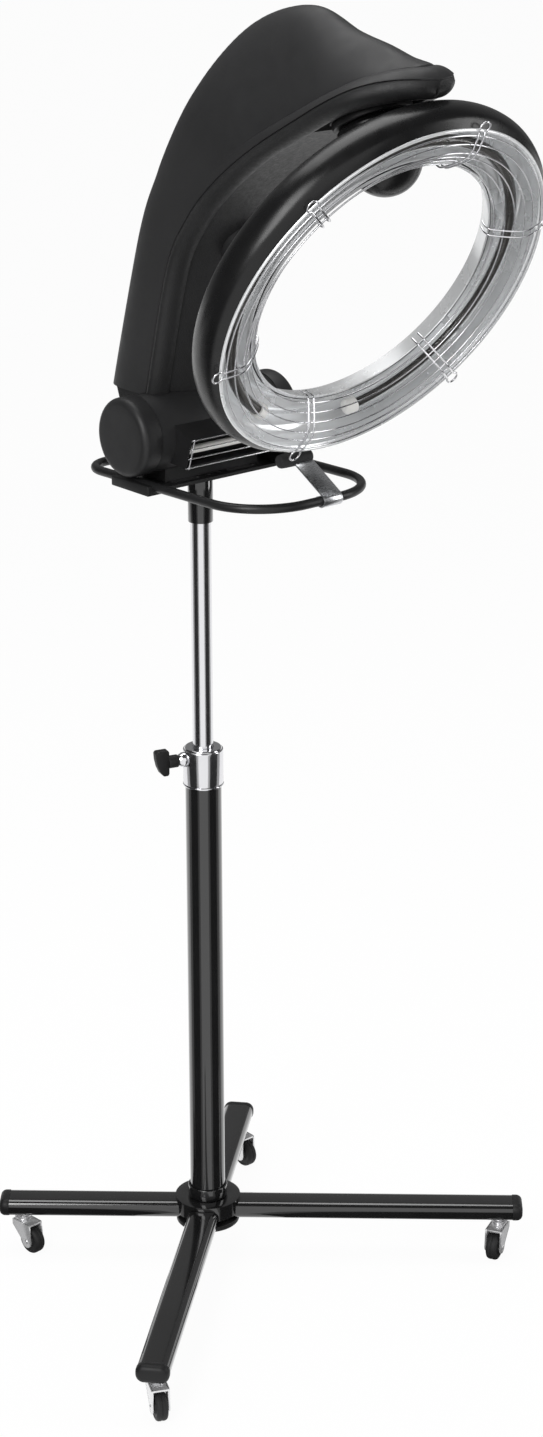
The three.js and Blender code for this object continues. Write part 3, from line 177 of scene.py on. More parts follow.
def beside(bearing, reach, height=0.001):
    """A point seen from the mast at a bearing from the camera, at a distance."""
    way = camera_azimuth + math.radians(bearing)
    return (math.sin(way) * reach, -math.cos(way) * reach, height)


def upright(side, bearings, reach, heights):
    """The corners of a standing card, between two bearings and two heights."""
    return [beside(side * b, reach, z) for z in heights for b in bearings]


for side, name in SIDES:
    for start, end, level in FLOOR_CARDS:
        corners = [beside(side * b, r) for b in (start, end) for r in (CARD_NEAR, CARD_FAR)]
        card(f"{name} floor card {start}", corners, level)
    card(f"{name} wall card", upright(side, **WALL_CARD), DARK)
card("back card", upright(1, **BACK_CARD), GREY)
card("ceiling card", [beside(b, CEILING_REACH, CEILING_HEIGHT) for b in CEILING_BEARINGS], DARK)


def soft_lamp(name, place, aim, size, power):
    bpy.ops.object.light_add(type="AREA", location=place)
    lamp = bpy.context.active_object
    lamp.name = name
    lamp.data.shape = "RECTANGLE"
    lamp.data.size, lamp.data.size_y = size
    lamp.data.energy = power
    lamp.rotation_euler = (Vector(aim) - Vector(place)).to_track_quat("-Z", "Y").to_euler()


soft_lamp("key", place=(-2.6, -1.2, 2.6), aim=(0, -0.1, 1.1), size=(1.2, 2.2), power=60)
soft_lamp("fill", place=(2.4, -2.2, 1.6), aim=(0, -0.1, 0.9), size=(1.0, 2.2), power=30)
soft_lamp("top", place=(0.2, 0.6, 3.4), aim=(0, 0, 0.8), size=(2.2, 1.6), power=36)

# %% [markdown]
# ## Hand tools
# A few short helpers do the same handwork again and again: start from a primitive, pick edges or faces by
# where they are, spin a profile, soften edges, and hand the finished piece over to the body that it moves
# with. Sizes are written in millimetres, as on a drawing, and turned into metres in one place.

# %% Helpers for modelling
MM = 0.001
MERGE_WITHIN = 1e-6


def moved(x, y, z):
    """A shift in millimetres."""
    return Matrix.Translation((x * MM, y * MM, z * MM))


def turned(degrees, axis):
    return Matrix.Rotation(math.radians(degrees), 4, axis)


def arc(middle, radius, start, end, steps, rise=None):
    """Points on a bend from one angle in degrees to another. A bend that isn't round has its own rise."""
    angles = [math.radians(start + (end - start) * i / steps) for i in range(steps + 1)]
    height = radius if rise is None else rise
    return [(middle[0] + radius * math.cos(a), middle[1] + height * math.sin(a)) for a in angles]


def only(obj):
    bpy.ops.object.select_all(action="DESELECT")
    obj.select_set(True)
    bpy.context.view_layer.objects.active = obj


def started(name):
    obj = bpy.context.active_object
    obj.name = obj.data.name = name
    return obj


def edit(obj, kind="VERT"):
    only(obj)
    bpy.ops.object.mode_set(mode="EDIT")
    bpy.ops.mesh.select_mode(type=kind)
    bpy.ops.mesh.select_all(action="SELECT")


def leave_edit():
    bpy.ops.object.mode_set(mode="OBJECT")


def pick(obj, kind, test):
    """In edit mode, selects the edges or faces that pass a test on their middle point and direction."""
    bpy.ops.mesh.select_mode(type=kind)
    bpy.ops.mesh.select_all(action="DESELECT")
    mesh = bmesh.from_edit_mesh(obj.data)
    for item in mesh.faces if kind == "FACE" else mesh.edges:
        if kind == "FACE":
            middle, way = item.calc_center_median(), item.normal
        else:
            ends = [v.co for v in item.verts]
            middle, way = (ends[0] + ends[1]) / 2, (ends[1] - ends[0]).normalized()
        if test(middle, way):
            item.select_set(True)
    bmesh.update_edit_mesh(obj.data)


def lengthwise(middle, way):
    return abs(way.x) > 0.9


def roll_edges(obj, test, width, segments):
    """Bevels the edges that pass a test."""
    edit(obj, "EDGE")
    pick(obj, "EDGE", test)
    bpy.ops.mesh.bevel(offset=width * MM, segments=segments, affect="EDGES")
    leave_edit()


def apply_modifier(obj, kind, **settings):
    only(obj)
    modifier = obj.modifiers.new(kind.lower(), kind)
    for key, value in settings.items():
        setattr(modifier, key, value)
    bpy.ops.object.modifier_apply(modifier=modifier.name)


def soften(obj, width, segments=3, angle=35):
    limit = math.radians(angle)
    apply_modifier(
        obj, "BEVEL", width=width * MM, segments=segments, limit_method="ANGLE", angle_limit=limit
    )
    return obj


def cut(obj, tool):
    apply_modifier(obj, "BOOLEAN", object=tool, operation="DIFFERENCE", solver="EXACT")


def smooth(obj, angle=40):
    only(obj)
    bpy.ops.object.shade_smooth_by_angle(angle=math.radians(angle))
    return obj


def put(obj, matrix):
    """Moves a piece to its place and leaves its object at the origin."""
    only(obj)
    obj.matrix_world = matrix @ obj.matrix_world
    bpy.ops.object.transform_apply(location=True, rotation=True, scale=True)
    return obj


def clean(obj):
    edit(obj)
    bpy.ops.mesh.remove_doubles(threshold=MERGE_WITHIN)
    bpy.ops.mesh.normals_make_consistent(inside=False)
    leave_edit()
    return obj


def outline(name, points, closed=True):
    """A ring of edges through the points, from a circle with as many corners."""
    bpy.ops.mesh.primitive_circle_add(vertices=len(points), radius=1, location=(0, 0, 0))
    obj = started(name)
    for vertex, point in zip(obj.data.vertices, points):
        vertex.co = Vector(point) * MM
    if not closed:
        edit(obj, "EDGE")
        bpy.ops.mesh.select_all(action="DESELECT")
        mesh = bmesh.from_edit_mesh(obj.data)
        mesh.verts.ensure_lookup_table()
        ends = {mesh.verts[0], mesh.verts[len(points) - 1]}
        for edge in mesh.edges:
            edge.select_set(set(edge.verts) == ends)
        bmesh.update_edit_mesh(obj.data)
        bpy.ops.mesh.delete(type="EDGE")
        leave_edit()
    return obj


def spun(name, profile, steps=96, closed=False):
    """A body of revolution about Z from (radius, height) pairs."""
    obj = outline(name, [(r, 0, z) for r, z in profile], closed)
    edit(obj)
    bpy.ops.mesh.spin(steps=steps, angle=2 * math.pi, center=(0, 0, 0), axis=(0, 0, 1))
    leave_edit()
    return clean(obj)


def plain_ring(name, inner, outer, low, high, steps=96):
    """A plain ring about Z, or a plain disc where it has no bore."""
    corners = [(inner, low), (outer, low), (outer, high), (inner, high)]
    return spun(name, corners, steps, closed=inner > 0)


def plate(name, points, thickness):
    """A flat outline in XZ, pulled out along Y to both sides."""
    obj = outline(name, [(x, -thickness / 2, z) for x, z in points])
    edit(obj)
    bpy.ops.mesh.edge_face_add()
    bpy.ops.mesh.extrude_region_move(TRANSFORM_OT_translate={"value": (0, thickness * MM, 0)})
    leave_edit()
    return clean(obj)


def block(name, size, middle):
    bpy.ops.mesh.primitive_cube_add(size=1)
    obj = started(name)
    obj.scale = Vector(size) * MM
    obj.location = Vector(middle) * MM
    bpy.ops.object.transform_apply(location=True, rotation=True, scale=True)
    return obj


def wire(name, points, radius, closed=False, roundness=3):
    """A round bar along a line of points."""
    bpy.ops.curve.primitive_nurbs_path_add()
    curve = started(name)
    data = curve.data
    data.splines.clear()
    spline = data.splines.new("POLY")
    spline.points.add(len(points) - 1)
    for knot, point in zip(spline.points, points):
        knot.co = (*(Vector(point) * MM), 1)
    spline.use_cyclic_u = closed
    data.bevel_depth = radius * MM
    data.bevel_resolution = roundness
    data.use_fill_caps = True
    only(curve)
    bpy.ops.object.convert(target="MESH")
    obj = started(name)
    return clean(obj)


def joined(name, *pieces):
    bpy.ops.object.select_all(action="DESELECT")
    for piece in pieces:
        piece.select_set(True)
    bpy.context.view_layer.objects.active = pieces[0]
    bpy.ops.object.join()
    return started(name)


def copy_of(obj, name):
    twin = obj.copy()
    twin.data = obj.data.copy()
    twin.name = twin.data.name = name
    bpy.context.scene.collection.objects.link(twin)
    return twin


def hand_over(obj, body, slot, finish, *stands_for):
    """The piece gets its finish, rides on its body and stands for its CAD nodes."""
    obj.data.materials.clear()
    obj.data.materials.append(finish)
    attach(obj, body)
    if stands_for:
        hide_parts(*stands_for)
    return obj


print("helpers ready")

# %% [markdown]
# ## Finishes
# Nothing on the real object is one flat colour. Paint has a slight orange peel, moulded plastic a fine
# sparkle, the rim of the hood a leather grain, and worn metal small differences in gloss. Each finish is a
# Principled shader with noise on Object coordinates for its gloss and, where it has them, shades and relief.

# %% Helpers for finishes
NOISE_LOW, NOISE_HIGH = 0.3, 0.7


def new_finish(name, metallic=0.0, specular=0.5):
    finish, tree = new_material(name)
    shader = tree.nodes["Principled BSDF"]
    give(shader, {"Metallic": metallic, "Specular IOR Level": specular})
    return finish, tree, shader


def object_place(tree, stretch=(1, 1, 1)):
    place = tree.nodes.new("ShaderNodeTexCoord")
    mapping = tree.nodes.new("ShaderNodeMapping")
    mapping.inputs["Scale"].default_value = stretch
    tree.links.new(place.outputs["Object"], mapping.inputs["Vector"])
    return mapping.outputs["Vector"]


def noise(tree, vector, scale, detail=3.0):
    node = tree.nodes.new("ShaderNodeTexNoise")
    give(node, {"Scale": scale, "Detail": detail})
    tree.links.new(vector, node.inputs["Vector"])
    return node.outputs["Fac"]


def vary_colour(tree, shader, value, dark, light):
    ramp = tree.nodes.new("ShaderNodeValToRGB")
    ramp.color_ramp.elements[0].position = NOISE_LOW
    ramp.color_ramp.elements[0].color = (*dark, 1)
    ramp.color_ramp.elements[1].position = NOISE_HIGH
    ramp.color_ramp.elements[1].color = (*light, 1)
    tree.links.new(value, ramp.inputs["Fac"])
    tree.links.new(ramp.outputs["Color"], shader.inputs["Base Color"])


def vary_roughness(tree, shader, value, low, high):
    spread = tree.nodes.new("ShaderNodeMapRange")
    give(spread, {"From Min": NOISE_LOW, "From Max": NOISE_HIGH, "To Min": low, "To Max": high})
    tree.links.new(value, spread.inputs["Value"])
    tree.links.new(spread.outputs["Result"], shader.inputs["Roughness"])


def relief(tree, shader, value, depth, strength=0.3):
    bump = tree.nodes.new("ShaderNodeBump")
    give(bump, {"Strength": strength, "Distance": depth * MM})
    tree.links.new(value, bump.inputs["Height"])
    tree.links.new(bump.outputs["Normal"], shader.inputs["Normal"])


def moulded(name, dark, light, gloss, grain_scale, grain_depth, specular=0.5):
    """Moulded plastic or paint: slow shade changes, a fine grain and uneven gloss."""
    finish, tree, shader = new_finish(name, specular=specular)
    place = object_place(tree)
    vary_colour(tree, shader, noise(tree, place, 9), dark, light)
    vary_roughness(tree, shader, noise(tree, place, 60), *gloss)
    relief(tree, shader, noise(tree, place, grain_scale), grain_depth)
    return finish


def grey(value):
    """A very slightly cool grey."""
    return (value, value, value * 1.04)


# %% Make the finishes
gloss_paint = moulded("black gloss paint", grey(0.006), grey(0.010), (0.1, 0.16), 160, 0.01)
give(gloss_paint.node_tree.nodes["Principled BSDF"], {"Coat Weight": 1.0, "Coat Roughness": 0.08})
satin_paint = moulded("black satin paint", grey(0.010), grey(0.016), (0.32, 0.42), 500, 0.03, 0.35)
satin_plastic = moulded("black satin plastic", grey(0.009), grey(0.015), (0.42, 0.55), 900, 0.05, 0.3)
gloss_plastic = moulded("black gloss plastic", grey(0.006), grey(0.009), (0.24, 0.32), 420, 0.02, 0.35)
drum_plastic = moulded("fine spark-eroded plastic", grey(0.014), grey(0.022), (0.42, 0.52), 1500, 0.06, 0.35)
shell_plastic = moulded("charcoal shell plastic", grey(0.016), grey(0.020), (0.48, 0.56), 1200, 0.04, 0.35)
pad_rubber = moulded("pad rubber", grey(0.020), grey(0.032), (0.6, 0.75), 700, 0.1, 0.3)
wheel_rubber = moulded("wheel rubber", grey(0.010), grey(0.020), (0.5, 0.65), 600, 0.08, 0.3)
ceramic = moulded("white ceramic", (0.82, 0.81, 0.78), (0.9, 0.89, 0.87), (0.3, 0.4), 800, 0.03)


def leather_grain(name):
    """The rim's moulded leather: rounded cells with fine creases between them."""
    finish, tree, shader = new_finish(name, specular=0.4)
    place = object_place(tree)
    cells = tree.nodes.new("ShaderNodeTexVoronoi")
    cells.feature = "DISTANCE_TO_EDGE"
    cells.inputs["Scale"].default_value = 520
    tree.links.new(place, cells.inputs["Vector"])
    vary_colour(tree, shader, noise(tree, place, 14), grey(0.011), grey(0.016))
    vary_roughness(tree, shader, noise(tree, place, 200), 0.42, 0.56)
    relief(tree, shader, cells.outputs["Distance"], 0.5, 0.8)
    return finish


def polished(name, colour, gloss, scale=120, metallic=1.0):
    finish, tree, shader = new_finish(name, metallic=metallic)
    shader.inputs["Base Color"].default_value = (*colour, 1)
    place = object_place(tree)
    vary_roughness(tree, shader, noise(tree, place, scale), *gloss)
    return finish


def brushed(name, colour, gloss):
    finish, tree, shader = new_finish(name, metallic=1.0)
    place = object_place(tree, (0.06, 1, 1))
    lines = noise(tree, place, 2400, 2)
    vary_colour(tree, shader, lines, tuple(0.85 * c for c in colour), colour)
    vary_roughness(tree, shader, lines, *gloss)
    relief(tree, shader, lines, 0.02, 0.4)
    return finish


grained_rim = leather_grain("grained rim")
chrome = polished("chrome", (0.80, 0.80, 0.82), (0.1, 0.16))
zinc = polished("bright zinc", (0.84, 0.84, 0.85), (0.14, 0.24), metallic=0.7)
bright_strap = brushed("bright strap", (0.74, 0.75, 0.77), (0.24, 0.36))
mirror_sheet = polished("bright reflector sheet", (0.93, 0.94, 0.95), (0.2, 0.3), 40, metallic=0.5)

quartz, quartz_tree, quartz_shader = new_finish("quartz glass")
give(quartz_shader, {"Base Color": (0.97, 0.98, 0.98, 1), "Transmission Weight": 1.0, "IOR": 1.46})
vary_roughness(quartz_tree, quartz_shader, noise(quartz_tree, object_place(quartz_tree), 80), 0.0, 0.03)
element_dark = moulded("carbon element", (0.02, 0.018, 0.016), (0.05, 0.045, 0.04), (0.5, 0.7), 900, 0.05)
print("finishes:", len(bpy.data.materials))

# %% [markdown]
# ## Base hub
# A round pressed cover sits over the place where the four arms meet, with a plain disc under them and a
# short sleeve round the foot of the mast. All three are turned shapes, so a profile is drawn and spun. A
# copy of each arm's section then cuts the notch that the arm goes through.

# %% Hub cover, lower disc and sleeve
FIT = 0.3
ARM_BOTTOM = 53.5
ARM_W, ARM_H, ARM_CORNER, ARM_WALL = 40, 23, 10, 2
ARM_MIDDLE = ARM_BOTTOM + ARM_H / 2
TUBE_R = 22.5
TUBE_BORE = TUBE_R + FIT
HUB_R, HUB_WALL, HUB_PLATE, HUB_SKIRT = 42, 3, 5, 20
HUB_TOP = ARM_BOTTOM + ARM_H + 5.3
NOTCH_LENGTH, NOTCH_MIDDLE = 80, 50
DISC_R, DISC_BOTTOM, DISC_TOP = 41, 46.2, 53.2
SLEEVE_R, SLEEVE_H = 25.3, 16
ARMS = {
    "front_left": {"angle": -138.4, "length": 410, "yaw": 245},
    "front_right": {"angle": -41.6, "length": 410, "yaw": 207},
    "rear_left": {"angle": 138.4, "length": 272, "yaw": -85},
    "rear_right": {"angle": 41.6, "length": 272, "yaw": -90},
}

under, skirt = HUB_TOP - HUB_PLATE, HUB_TOP - HUB_SKIRT
cover_line = [
    (TUBE_BORE, under), (HUB_R - HUB_WALL, under), (HUB_R - HUB_WALL, skirt),
    (HUB_R, skirt), (HUB_R, HUB_TOP), (TUBE_BORE, HUB_TOP),
]
hub_cover = spun("hub_cover", cover_line, closed=True)
for name, arm in ARMS.items():
    notch_size = (NOTCH_LENGTH, ARM_W + 2 * FIT, ARM_H + 2 * FIT)
    notch = block("notch", notch_size, (NOTCH_MIDDLE, 0, ARM_MIDDLE))
    roll_edges(notch, lengthwise, ARM_CORNER, 6)
    put(notch, turned(arm["angle"], "Z"))
    cut(hub_cover, notch)
    bpy.data.objects.remove(notch)
soften(hub_cover, 1.2, 3, 50)
hand_over(smooth(hub_cover), "base", "black_gloss_paint", gloss_paint, "hub_top_disc")

lower_disc = soften(plain_ring("lower_disc", 0, DISC_R, DISC_BOTTOM, DISC_TOP), 1.5)
hand_over(smooth(lower_disc), "base", "black_satin_plastic", satin_plastic, "hub_lower_plate")

foot_sleeve = soften(plain_ring("foot_sleeve", TUBE_BORE, SLEEVE_R, HUB_TOP + FIT, HUB_TOP + SLEEVE_H), 0.9)
hand_over(smooth(foot_sleeve), "base", "black_gloss_paint", gloss_paint, "tube_sleeve")
print("hub height in mm:", HUB_TOP)

# %% [markdown]
# ## Arms and end caps
# Each arm is a steel box tube with rounded shoulders. A cube is stretched to the tube's length, its long
# edges are bevelled, its two ends are opened and Solidify gives the wall. The cap is a cube too, slightly
# larger than the tube, with its outer edges rolled over.

# %% Arms and caps
CAP_LENGTH, CAP_LARGER = 13, 1
CAP_CORNER, CAP_ROLL, CAP_EDGE = 10.4, 7.5, 0.8
ARM_START = 24.0
NEAR = 0.05
for name, arm in ARMS.items():
    turn = turned(arm["angle"], "Z")
    tube_end = arm["length"] - CAP_LENGTH
    tube_middle = (tube_end + ARM_START) / 2
    tube = block(f"arm_tube_{name}", (tube_end - ARM_START, ARM_W, ARM_H), (tube_middle, 0, ARM_MIDDLE))
    roll_edges(tube, lengthwise, ARM_CORNER, 8)
    edit(tube)
    pick(tube, "FACE", lengthwise)
    bpy.ops.mesh.delete(type="FACE")
    leave_edit()
    apply_modifier(tube, "SOLIDIFY", thickness=ARM_WALL * MM, offset=-1)
    hand_over(put(smooth(tube), turn), "base", "black_gloss_paint", gloss_paint, f"arm_{name}")

    cap_size = (CAP_LENGTH, ARM_W + CAP_LARGER, ARM_H + CAP_LARGER)
    cap = block(f"arm_end_{name}", cap_size, (tube_end + CAP_LENGTH / 2, 0, ARM_MIDDLE))
    outer_end = (arm["length"] - NEAR) * MM
    inner_end = (tube_end + NEAR) * MM
    roll_edges(cap, lengthwise, CAP_CORNER, 8)
    roll_edges(cap, lambda middle, way: middle.x > outer_end, CAP_ROLL, 6)
    roll_edges(cap, lambda middle, way: middle.x < inner_end, CAP_EDGE, 2)
    hand_over(put(smooth(cap), turn), "base", "black_satin_plastic", satin_plastic, f"arm_cap_{name}")
print("arms:", list(ARMS))

# %% [markdown]
# ## Casters
# A swivel caster has a stem with two ball races, a pressed fork and a wheel behind the stem, so that it
# trails. The fork is modelled once with the stem on Z and the wheel along +X, and each copy is turned to
# the way its wheel points.

# %% Fork and wheel, then the four copies
WHEEL_R, WHEEL_W, TRAIL = 18, 16, 18
CHEEK_T, EAR_R = 2.5, 8.5
CHEEK_GAP = WHEEL_W / 2 + 0.8
RACE_R, RACE_H, STEM_R, NECK_R = 10.5, 3, 5, 7
BRIDGE_L, BRIDGE_T, BRIDGE_X = 33, 3, 8
AXLE_R, AXLE_HALF = 3, 11.5
CASTER_INSET = 29
upper_race = ARM_BOTTOM - RACE_H - 0.4
lower_race = upper_race - 5
stem_top = ARM_BOTTOM + 9
crown = lower_race - 2

stem_line = [
    (0, lower_race - RACE_H), (8.5, lower_race - RACE_H), (RACE_R, lower_race),
    (RACE_R, lower_race + RACE_H), (NECK_R, lower_race + RACE_H), (NECK_R, upper_race),
    (RACE_R, upper_race), (RACE_R, upper_race + RACE_H), (STEM_R, upper_race + RACE_H),
    (STEM_R, stem_top), (0, stem_top),
]
stem = soften(spun("fork_stem", stem_line, 48), 0.6, 2)
cheek_line = [(-EAR_R, crown), (TRAIL + 6.5, crown)]
cheek_line += arc((TRAIL, WHEEL_R), EAR_R, 0, -180, 12)
cheek_line.append((-EAR_R, crown - 8))
rivet_line = [(0, 1.6), (2.2, 1.3), (3.6, 0.2), (3.8, -0.6), (3.8, -1.6), (0, -1.6)]
cheeks = []
rivets = []
for side, name in SIDES:
    cheek = soften(plate("cheek", cheek_line, CHEEK_T), 0.5, 2)
    cheeks.append(put(cheek, moved(0, side * (CHEEK_GAP + CHEEK_T / 2), 0)))
    rivet = put(spun("rivet", rivet_line, 32), turned(-90 * side, "X"))
    rivets.append(put(rivet, moved(TRAIL, side * (CHEEK_GAP + CHEEK_T), WHEEL_R)))
bridge = block("bridge", (BRIDGE_L, 2 * CHEEK_GAP + 4, BRIDGE_T), (BRIDGE_X, 0, crown - BRIDGE_T / 2))
soften(bridge, 0.9, 2)
wheel_place = moved(TRAIL, 0, WHEEL_R) @ turned(90, "X")
axle = put(plain_ring("axle", 0, AXLE_R, -AXLE_HALF, AXLE_HALF, 24), wheel_place)
fork = smooth(joined("fork", stem, *cheeks, bridge, *rivets, axle))

# radius and depth in from the side of the wheel, from the bore to the groove in the tread
half_tread = [
    (3.4, 0), (8.5, 0), (9.2, 1.4), (14.2, 1.4), (14.8, 0.7),
    (16.6, 1.6), (17.7, 3.2), (WHEEL_R, 5), (WHEEL_R, 7), (17.4, 7.6),
]
lower_half = [(r, depth - WHEEL_W / 2) for r, depth in half_tread]
wheel = spun("wheel", lower_half + [(r, -z) for r, z in reversed(lower_half)], 64, closed=True)
put(smooth(wheel, 30), wheel_place)

for name, arm in ARMS.items():
    way = math.radians(arm["angle"])
    reach = arm["length"] - CASTER_INSET
    stand = moved(math.cos(way) * reach, math.sin(way) * reach, 0) @ turned(arm["yaw"], "Z")
    swivel = put(copy_of(fork, f"swivel_{name}"), stand)
    hand_over(swivel, f"fork_{name}", "chrome", zinc, f"caster_fork_{name}")
    roller = put(copy_of(wheel, f"roller_{name}"), stand)
    hand_over(roller, f"wheel_{name}", "wheel_rubber", wheel_rubber, f"caster_wheel_{name}")
for pattern in (fork, wheel):
    bpy.data.objects.remove(pattern)
print("caster height in mm:", round(upper_race + RACE_H, 1))

# %% [markdown]
# ## Mast
# The lower tube is painted, and the upper one is chromed and slides in it. A polished collar with a screw
# holds the height. The tubes and the collar are spun, and the wing of the screw is an outline that is
# pulled out and softened until it feels like a moulded grip.

# %% Tubes, collar and screw
CLAMP_R, CLAMP_BOTTOM, CLAMP_SEAT, CLAMP_TOP = 25, 658, 680, 703
TUBE_WALL, MAST_WALL = 2.5, 2
MAST_R, MAST_BOTTOM, MAST_TOP = 12.7, 403, 1043.4
MAST_BORE = MAST_R + 0.4
FOOT_RING_R, FOOT_RING_H = 25.4, 2
LIP_R, LIP_TOP_R, LIP_H = 23.5, 22, 2
KNOB_ANGLE, SCREW_Z = 164, 691.5
WING_T, WING_X = 11, 44.4

lower_tube = plain_ring("lower_tube", TUBE_R - TUBE_WALL, TUBE_R, ARM_BOTTOM, CLAMP_SEAT - FIT)
hand_over(smooth(lower_tube), "base", "black_gloss_paint", gloss_paint, "outer_tube")
upper_tube = plain_ring("upper_tube", MAST_R - MAST_WALL, MAST_R, MAST_BOTTOM, MAST_TOP)
hand_over(smooth(upper_tube), "mast", "chrome", chrome, "inner_tube")

ring_top = CLAMP_BOTTOM - FIT
foot_ring = plain_ring("foot_ring", TUBE_BORE, FOOT_RING_R, ring_top - FOOT_RING_H, ring_top)
soften(foot_ring, 0.5, 2)
hand_over(smooth(foot_ring), "base", "chrome", chrome, "clamp_foot_ring")
clamp_line = [
    (TUBE_BORE, CLAMP_BOTTOM), (CLAMP_R, CLAMP_BOTTOM), (CLAMP_R, CLAMP_TOP),
    (MAST_BORE, CLAMP_TOP), (MAST_BORE, CLAMP_SEAT), (TUBE_BORE, CLAMP_SEAT),
]
clamp_ring = soften(spun("clamp_ring", clamp_line, closed=True), 1.2)
hand_over(smooth(clamp_ring), "base", "chrome", chrome, "clamp_collar")
lip_low = CLAMP_TOP + FIT
lip_high = lip_low + LIP_H
lip_line = [(MAST_BORE, lip_low), (LIP_R, lip_low), (LIP_TOP_R, lip_high), (MAST_BORE, lip_high)]
top_lip = soften(spun("top_lip", lip_line, closed=True), 0.5, 2)
hand_over(smooth(top_lip), "base", "chrome", chrome, "clamp_lip")

screw_place = moved(0, 0, SCREW_Z) @ turned(KNOB_ANGLE, "Z")
boss_line = [(4.4, 24), (9.5, 24), (9.5, 28), (6.5, 34), (4.4, 34)]
screw_boss = soften(spun("screw_boss", boss_line, 48, closed=True), 0.6, 2)
hand_over(put(smooth(screw_boss), screw_place @ turned(90, "Y")), "base", "chrome", chrome, "clamp_boss")

wing_line = [
    (2.4, 14.8), (4, 16.5), (18, 16.5), (20, 14), (19.4, 5.8),
    (17.2, -4.1), (13.6, -12.4), (9.6, -16.5), (4, -16.5), (2.4, -14),
]
wing = soften(plate("wing", wing_line, WING_T), 3.4, 4, 25)
put(wing, moved(WING_X, 0, 0))
grip = soften(spun("grip", [(0, 13.1), (4, 13.1), (4, 34.4), (8, 34.4), (8, 47.4), (0, 47.4)], 48), 1)
put(grip, turned(90, "Y"))
knob = put(smooth(joined("wing_screw", wing, grip), 50), screw_place)
hand_over(knob, "knob", "black_satin_plastic", satin_plastic, "clamp_knob")

# %% [markdown]
# ## Bracket and bumper
# A collar on the mast carries a slotted plate. A bent rod lies round the plate in two blocks and comes
# forward under the ring, and a bright strap with a soft pad is folded over its front. The rod is a curve
# with a round bevel. The strap starts as a line of edges that is pulled out to the strap's width.

# %% Collar, rod and blocks
TILT_Z = 1115
LOOP_Z, ROD_R = TILT_Z - 53.1, 5.5
LOOP_SLOPE = math.tan(math.radians(1.2))
COLLAR_BORE, COLLAR_R, COLLAR_SEAT = 13, 15.2, MAST_TOP + FIT
COLLAR_BOTTOM, COLLAR_TOP = COLLAR_SEAT - 50, COLLAR_SEAT + 10
BLOCK_SIZE = (21.7, 70, 11.9)
BLOCK_X, BLOCK_Y, BLOCK_Z = 102.15, -9, TILT_Z - 56.05

collar_line = [
    (0, COLLAR_SEAT), (COLLAR_BORE, COLLAR_SEAT), (COLLAR_BORE, COLLAR_BOTTOM),
    (COLLAR_R, COLLAR_BOTTOM), (COLLAR_R, COLLAR_TOP), (0, COLLAR_TOP),
]
mast_collar = soften(spun("mast_collar", collar_line), 0.7, 2)
hand_over(smooth(mast_collar), "bracket", "black_gloss_paint", gloss_paint, "top_collar")

# the middle, radius and first angle of each bend of the rod
BENDS = [(-67, 61, 34, 90), (-25, -146, 76, 180), (25, -146, 76, 270), (67, 61, 34, 0)]
rod_line = []
for x, y, radius, start in BENDS:
    for across, ahead in arc((x, y), radius, start, start + 90, 24):
        rod_line.append((across, ahead, LOOP_Z - ahead * LOOP_SLOPE))
bumper_rod = wire("bumper_rod", rod_line, ROD_R, closed=True, roundness=6)
hand_over(smooth(bumper_rod, 60), "bracket", "black_satin_paint", satin_paint, "bumper_loop")

for side, name in SIDES:
    rod_block = soften(block(f"rod_block_{name}", BLOCK_SIZE, (side * BLOCK_X, BLOCK_Y, BLOCK_Z)), 1.5)
    hand_over(smooth(rod_block), "bracket", "black_satin_plastic", satin_plastic, f"loop_block_{name}")
print("rod points:", len(rod_line))

# %% Strap and pad
STRAP_X, STRAP_Y, STRAP_LIFT = 10, -222, 30
STRAP_MID, STRAP_W, STRAP_T = 7.05, 28, 2.2
STRAP_STEPS = (6, 18, 19, 34, 35, 48, 61)
strap_place = moved(STRAP_X, STRAP_Y, LOOP_Z - STRAP_Y * LOOP_SLOPE) @ turned(STRAP_LIFT, "X")
strap_side = arc((0, 0), STRAP_MID, 0, -270, 18) + [(reach, STRAP_MID) for reach in STRAP_STEPS]
strap = outline("strap", [(-STRAP_W / 2, y, z) for y, z in strap_side], closed=False)
edit(strap)
bpy.ops.mesh.extrude_edges_move(TRANSFORM_OT_translate={"value": (STRAP_W * MM, 0, 0)})
leave_edit()
clean(strap)
apply_modifier(strap, "SOLIDIFY", thickness=STRAP_T * MM, offset=0)
soften(strap, 0.5, 2, 50)
rivets = []
for x in (-6, 6):
    rivet = spun("rivet", [(0, 1.2), (1.6, 0.9), (2.4, 0), (2.4, -1), (0, -1)], 24)
    rivets.append(put(rivet, moved(x, 0, -8.2) @ turned(180, "X")))
strap = put(smooth(joined("bright_strap", strap, *rivets)), strap_place)
hand_over(strap, "bracket", "bright_steel", bright_strap, "bumper_strap")

pad_profile = [(0, -24), (5, -24), (7.6, -22.8), (8.5, -20), (8.5, 20), (7.6, 22.8), (5, 24), (0, 24)]
pad = spun("soft_pad", pad_profile, 48)
apply_modifier(pad, "SUBSURF", levels=1, render_levels=1)
put(pad, turned(90, "Y"))
put(smooth(pad, 60), strap_place @ moved(-8, 64, STRAP_MID))
hand_over(pad, "bracket", "pad_rubber", pad_rubber, "bumper_pad")
print("strap and pad ride on the bracket")

# %% [markdown]
# ## Drum and nape heater
# The drum lies across the back of the head and turns to tilt the hood. Two thick caps close it. In front
# of it a small trough holds a heating rod behind a wire guard, which warms the nape.

# %% Drum, caps, rod and guard
HEAD = moved(0, 0, TILT_Z)
DRUM_R, DRUM_HALF = 46, 92
DRUM_CAP_R, DRUM_CAP_SIDE, DRUM_CAP_ROUND = 47, 17, 9
DRUM_CAP_TOP = DRUM_CAP_SIDE + DRUM_CAP_ROUND
NAPE_ROD_R, NAPE_ROD_HALF = 5, 69.2
drum = soften(plain_ring("drum", 0, DRUM_R, -DRUM_HALF, DRUM_HALF, 128), 0.8, 2)
put(smooth(drum), HEAD @ turned(90, "Y"))
hand_over(drum, "head", "black_gloss_plastic", drum_plastic, "drum_housing")

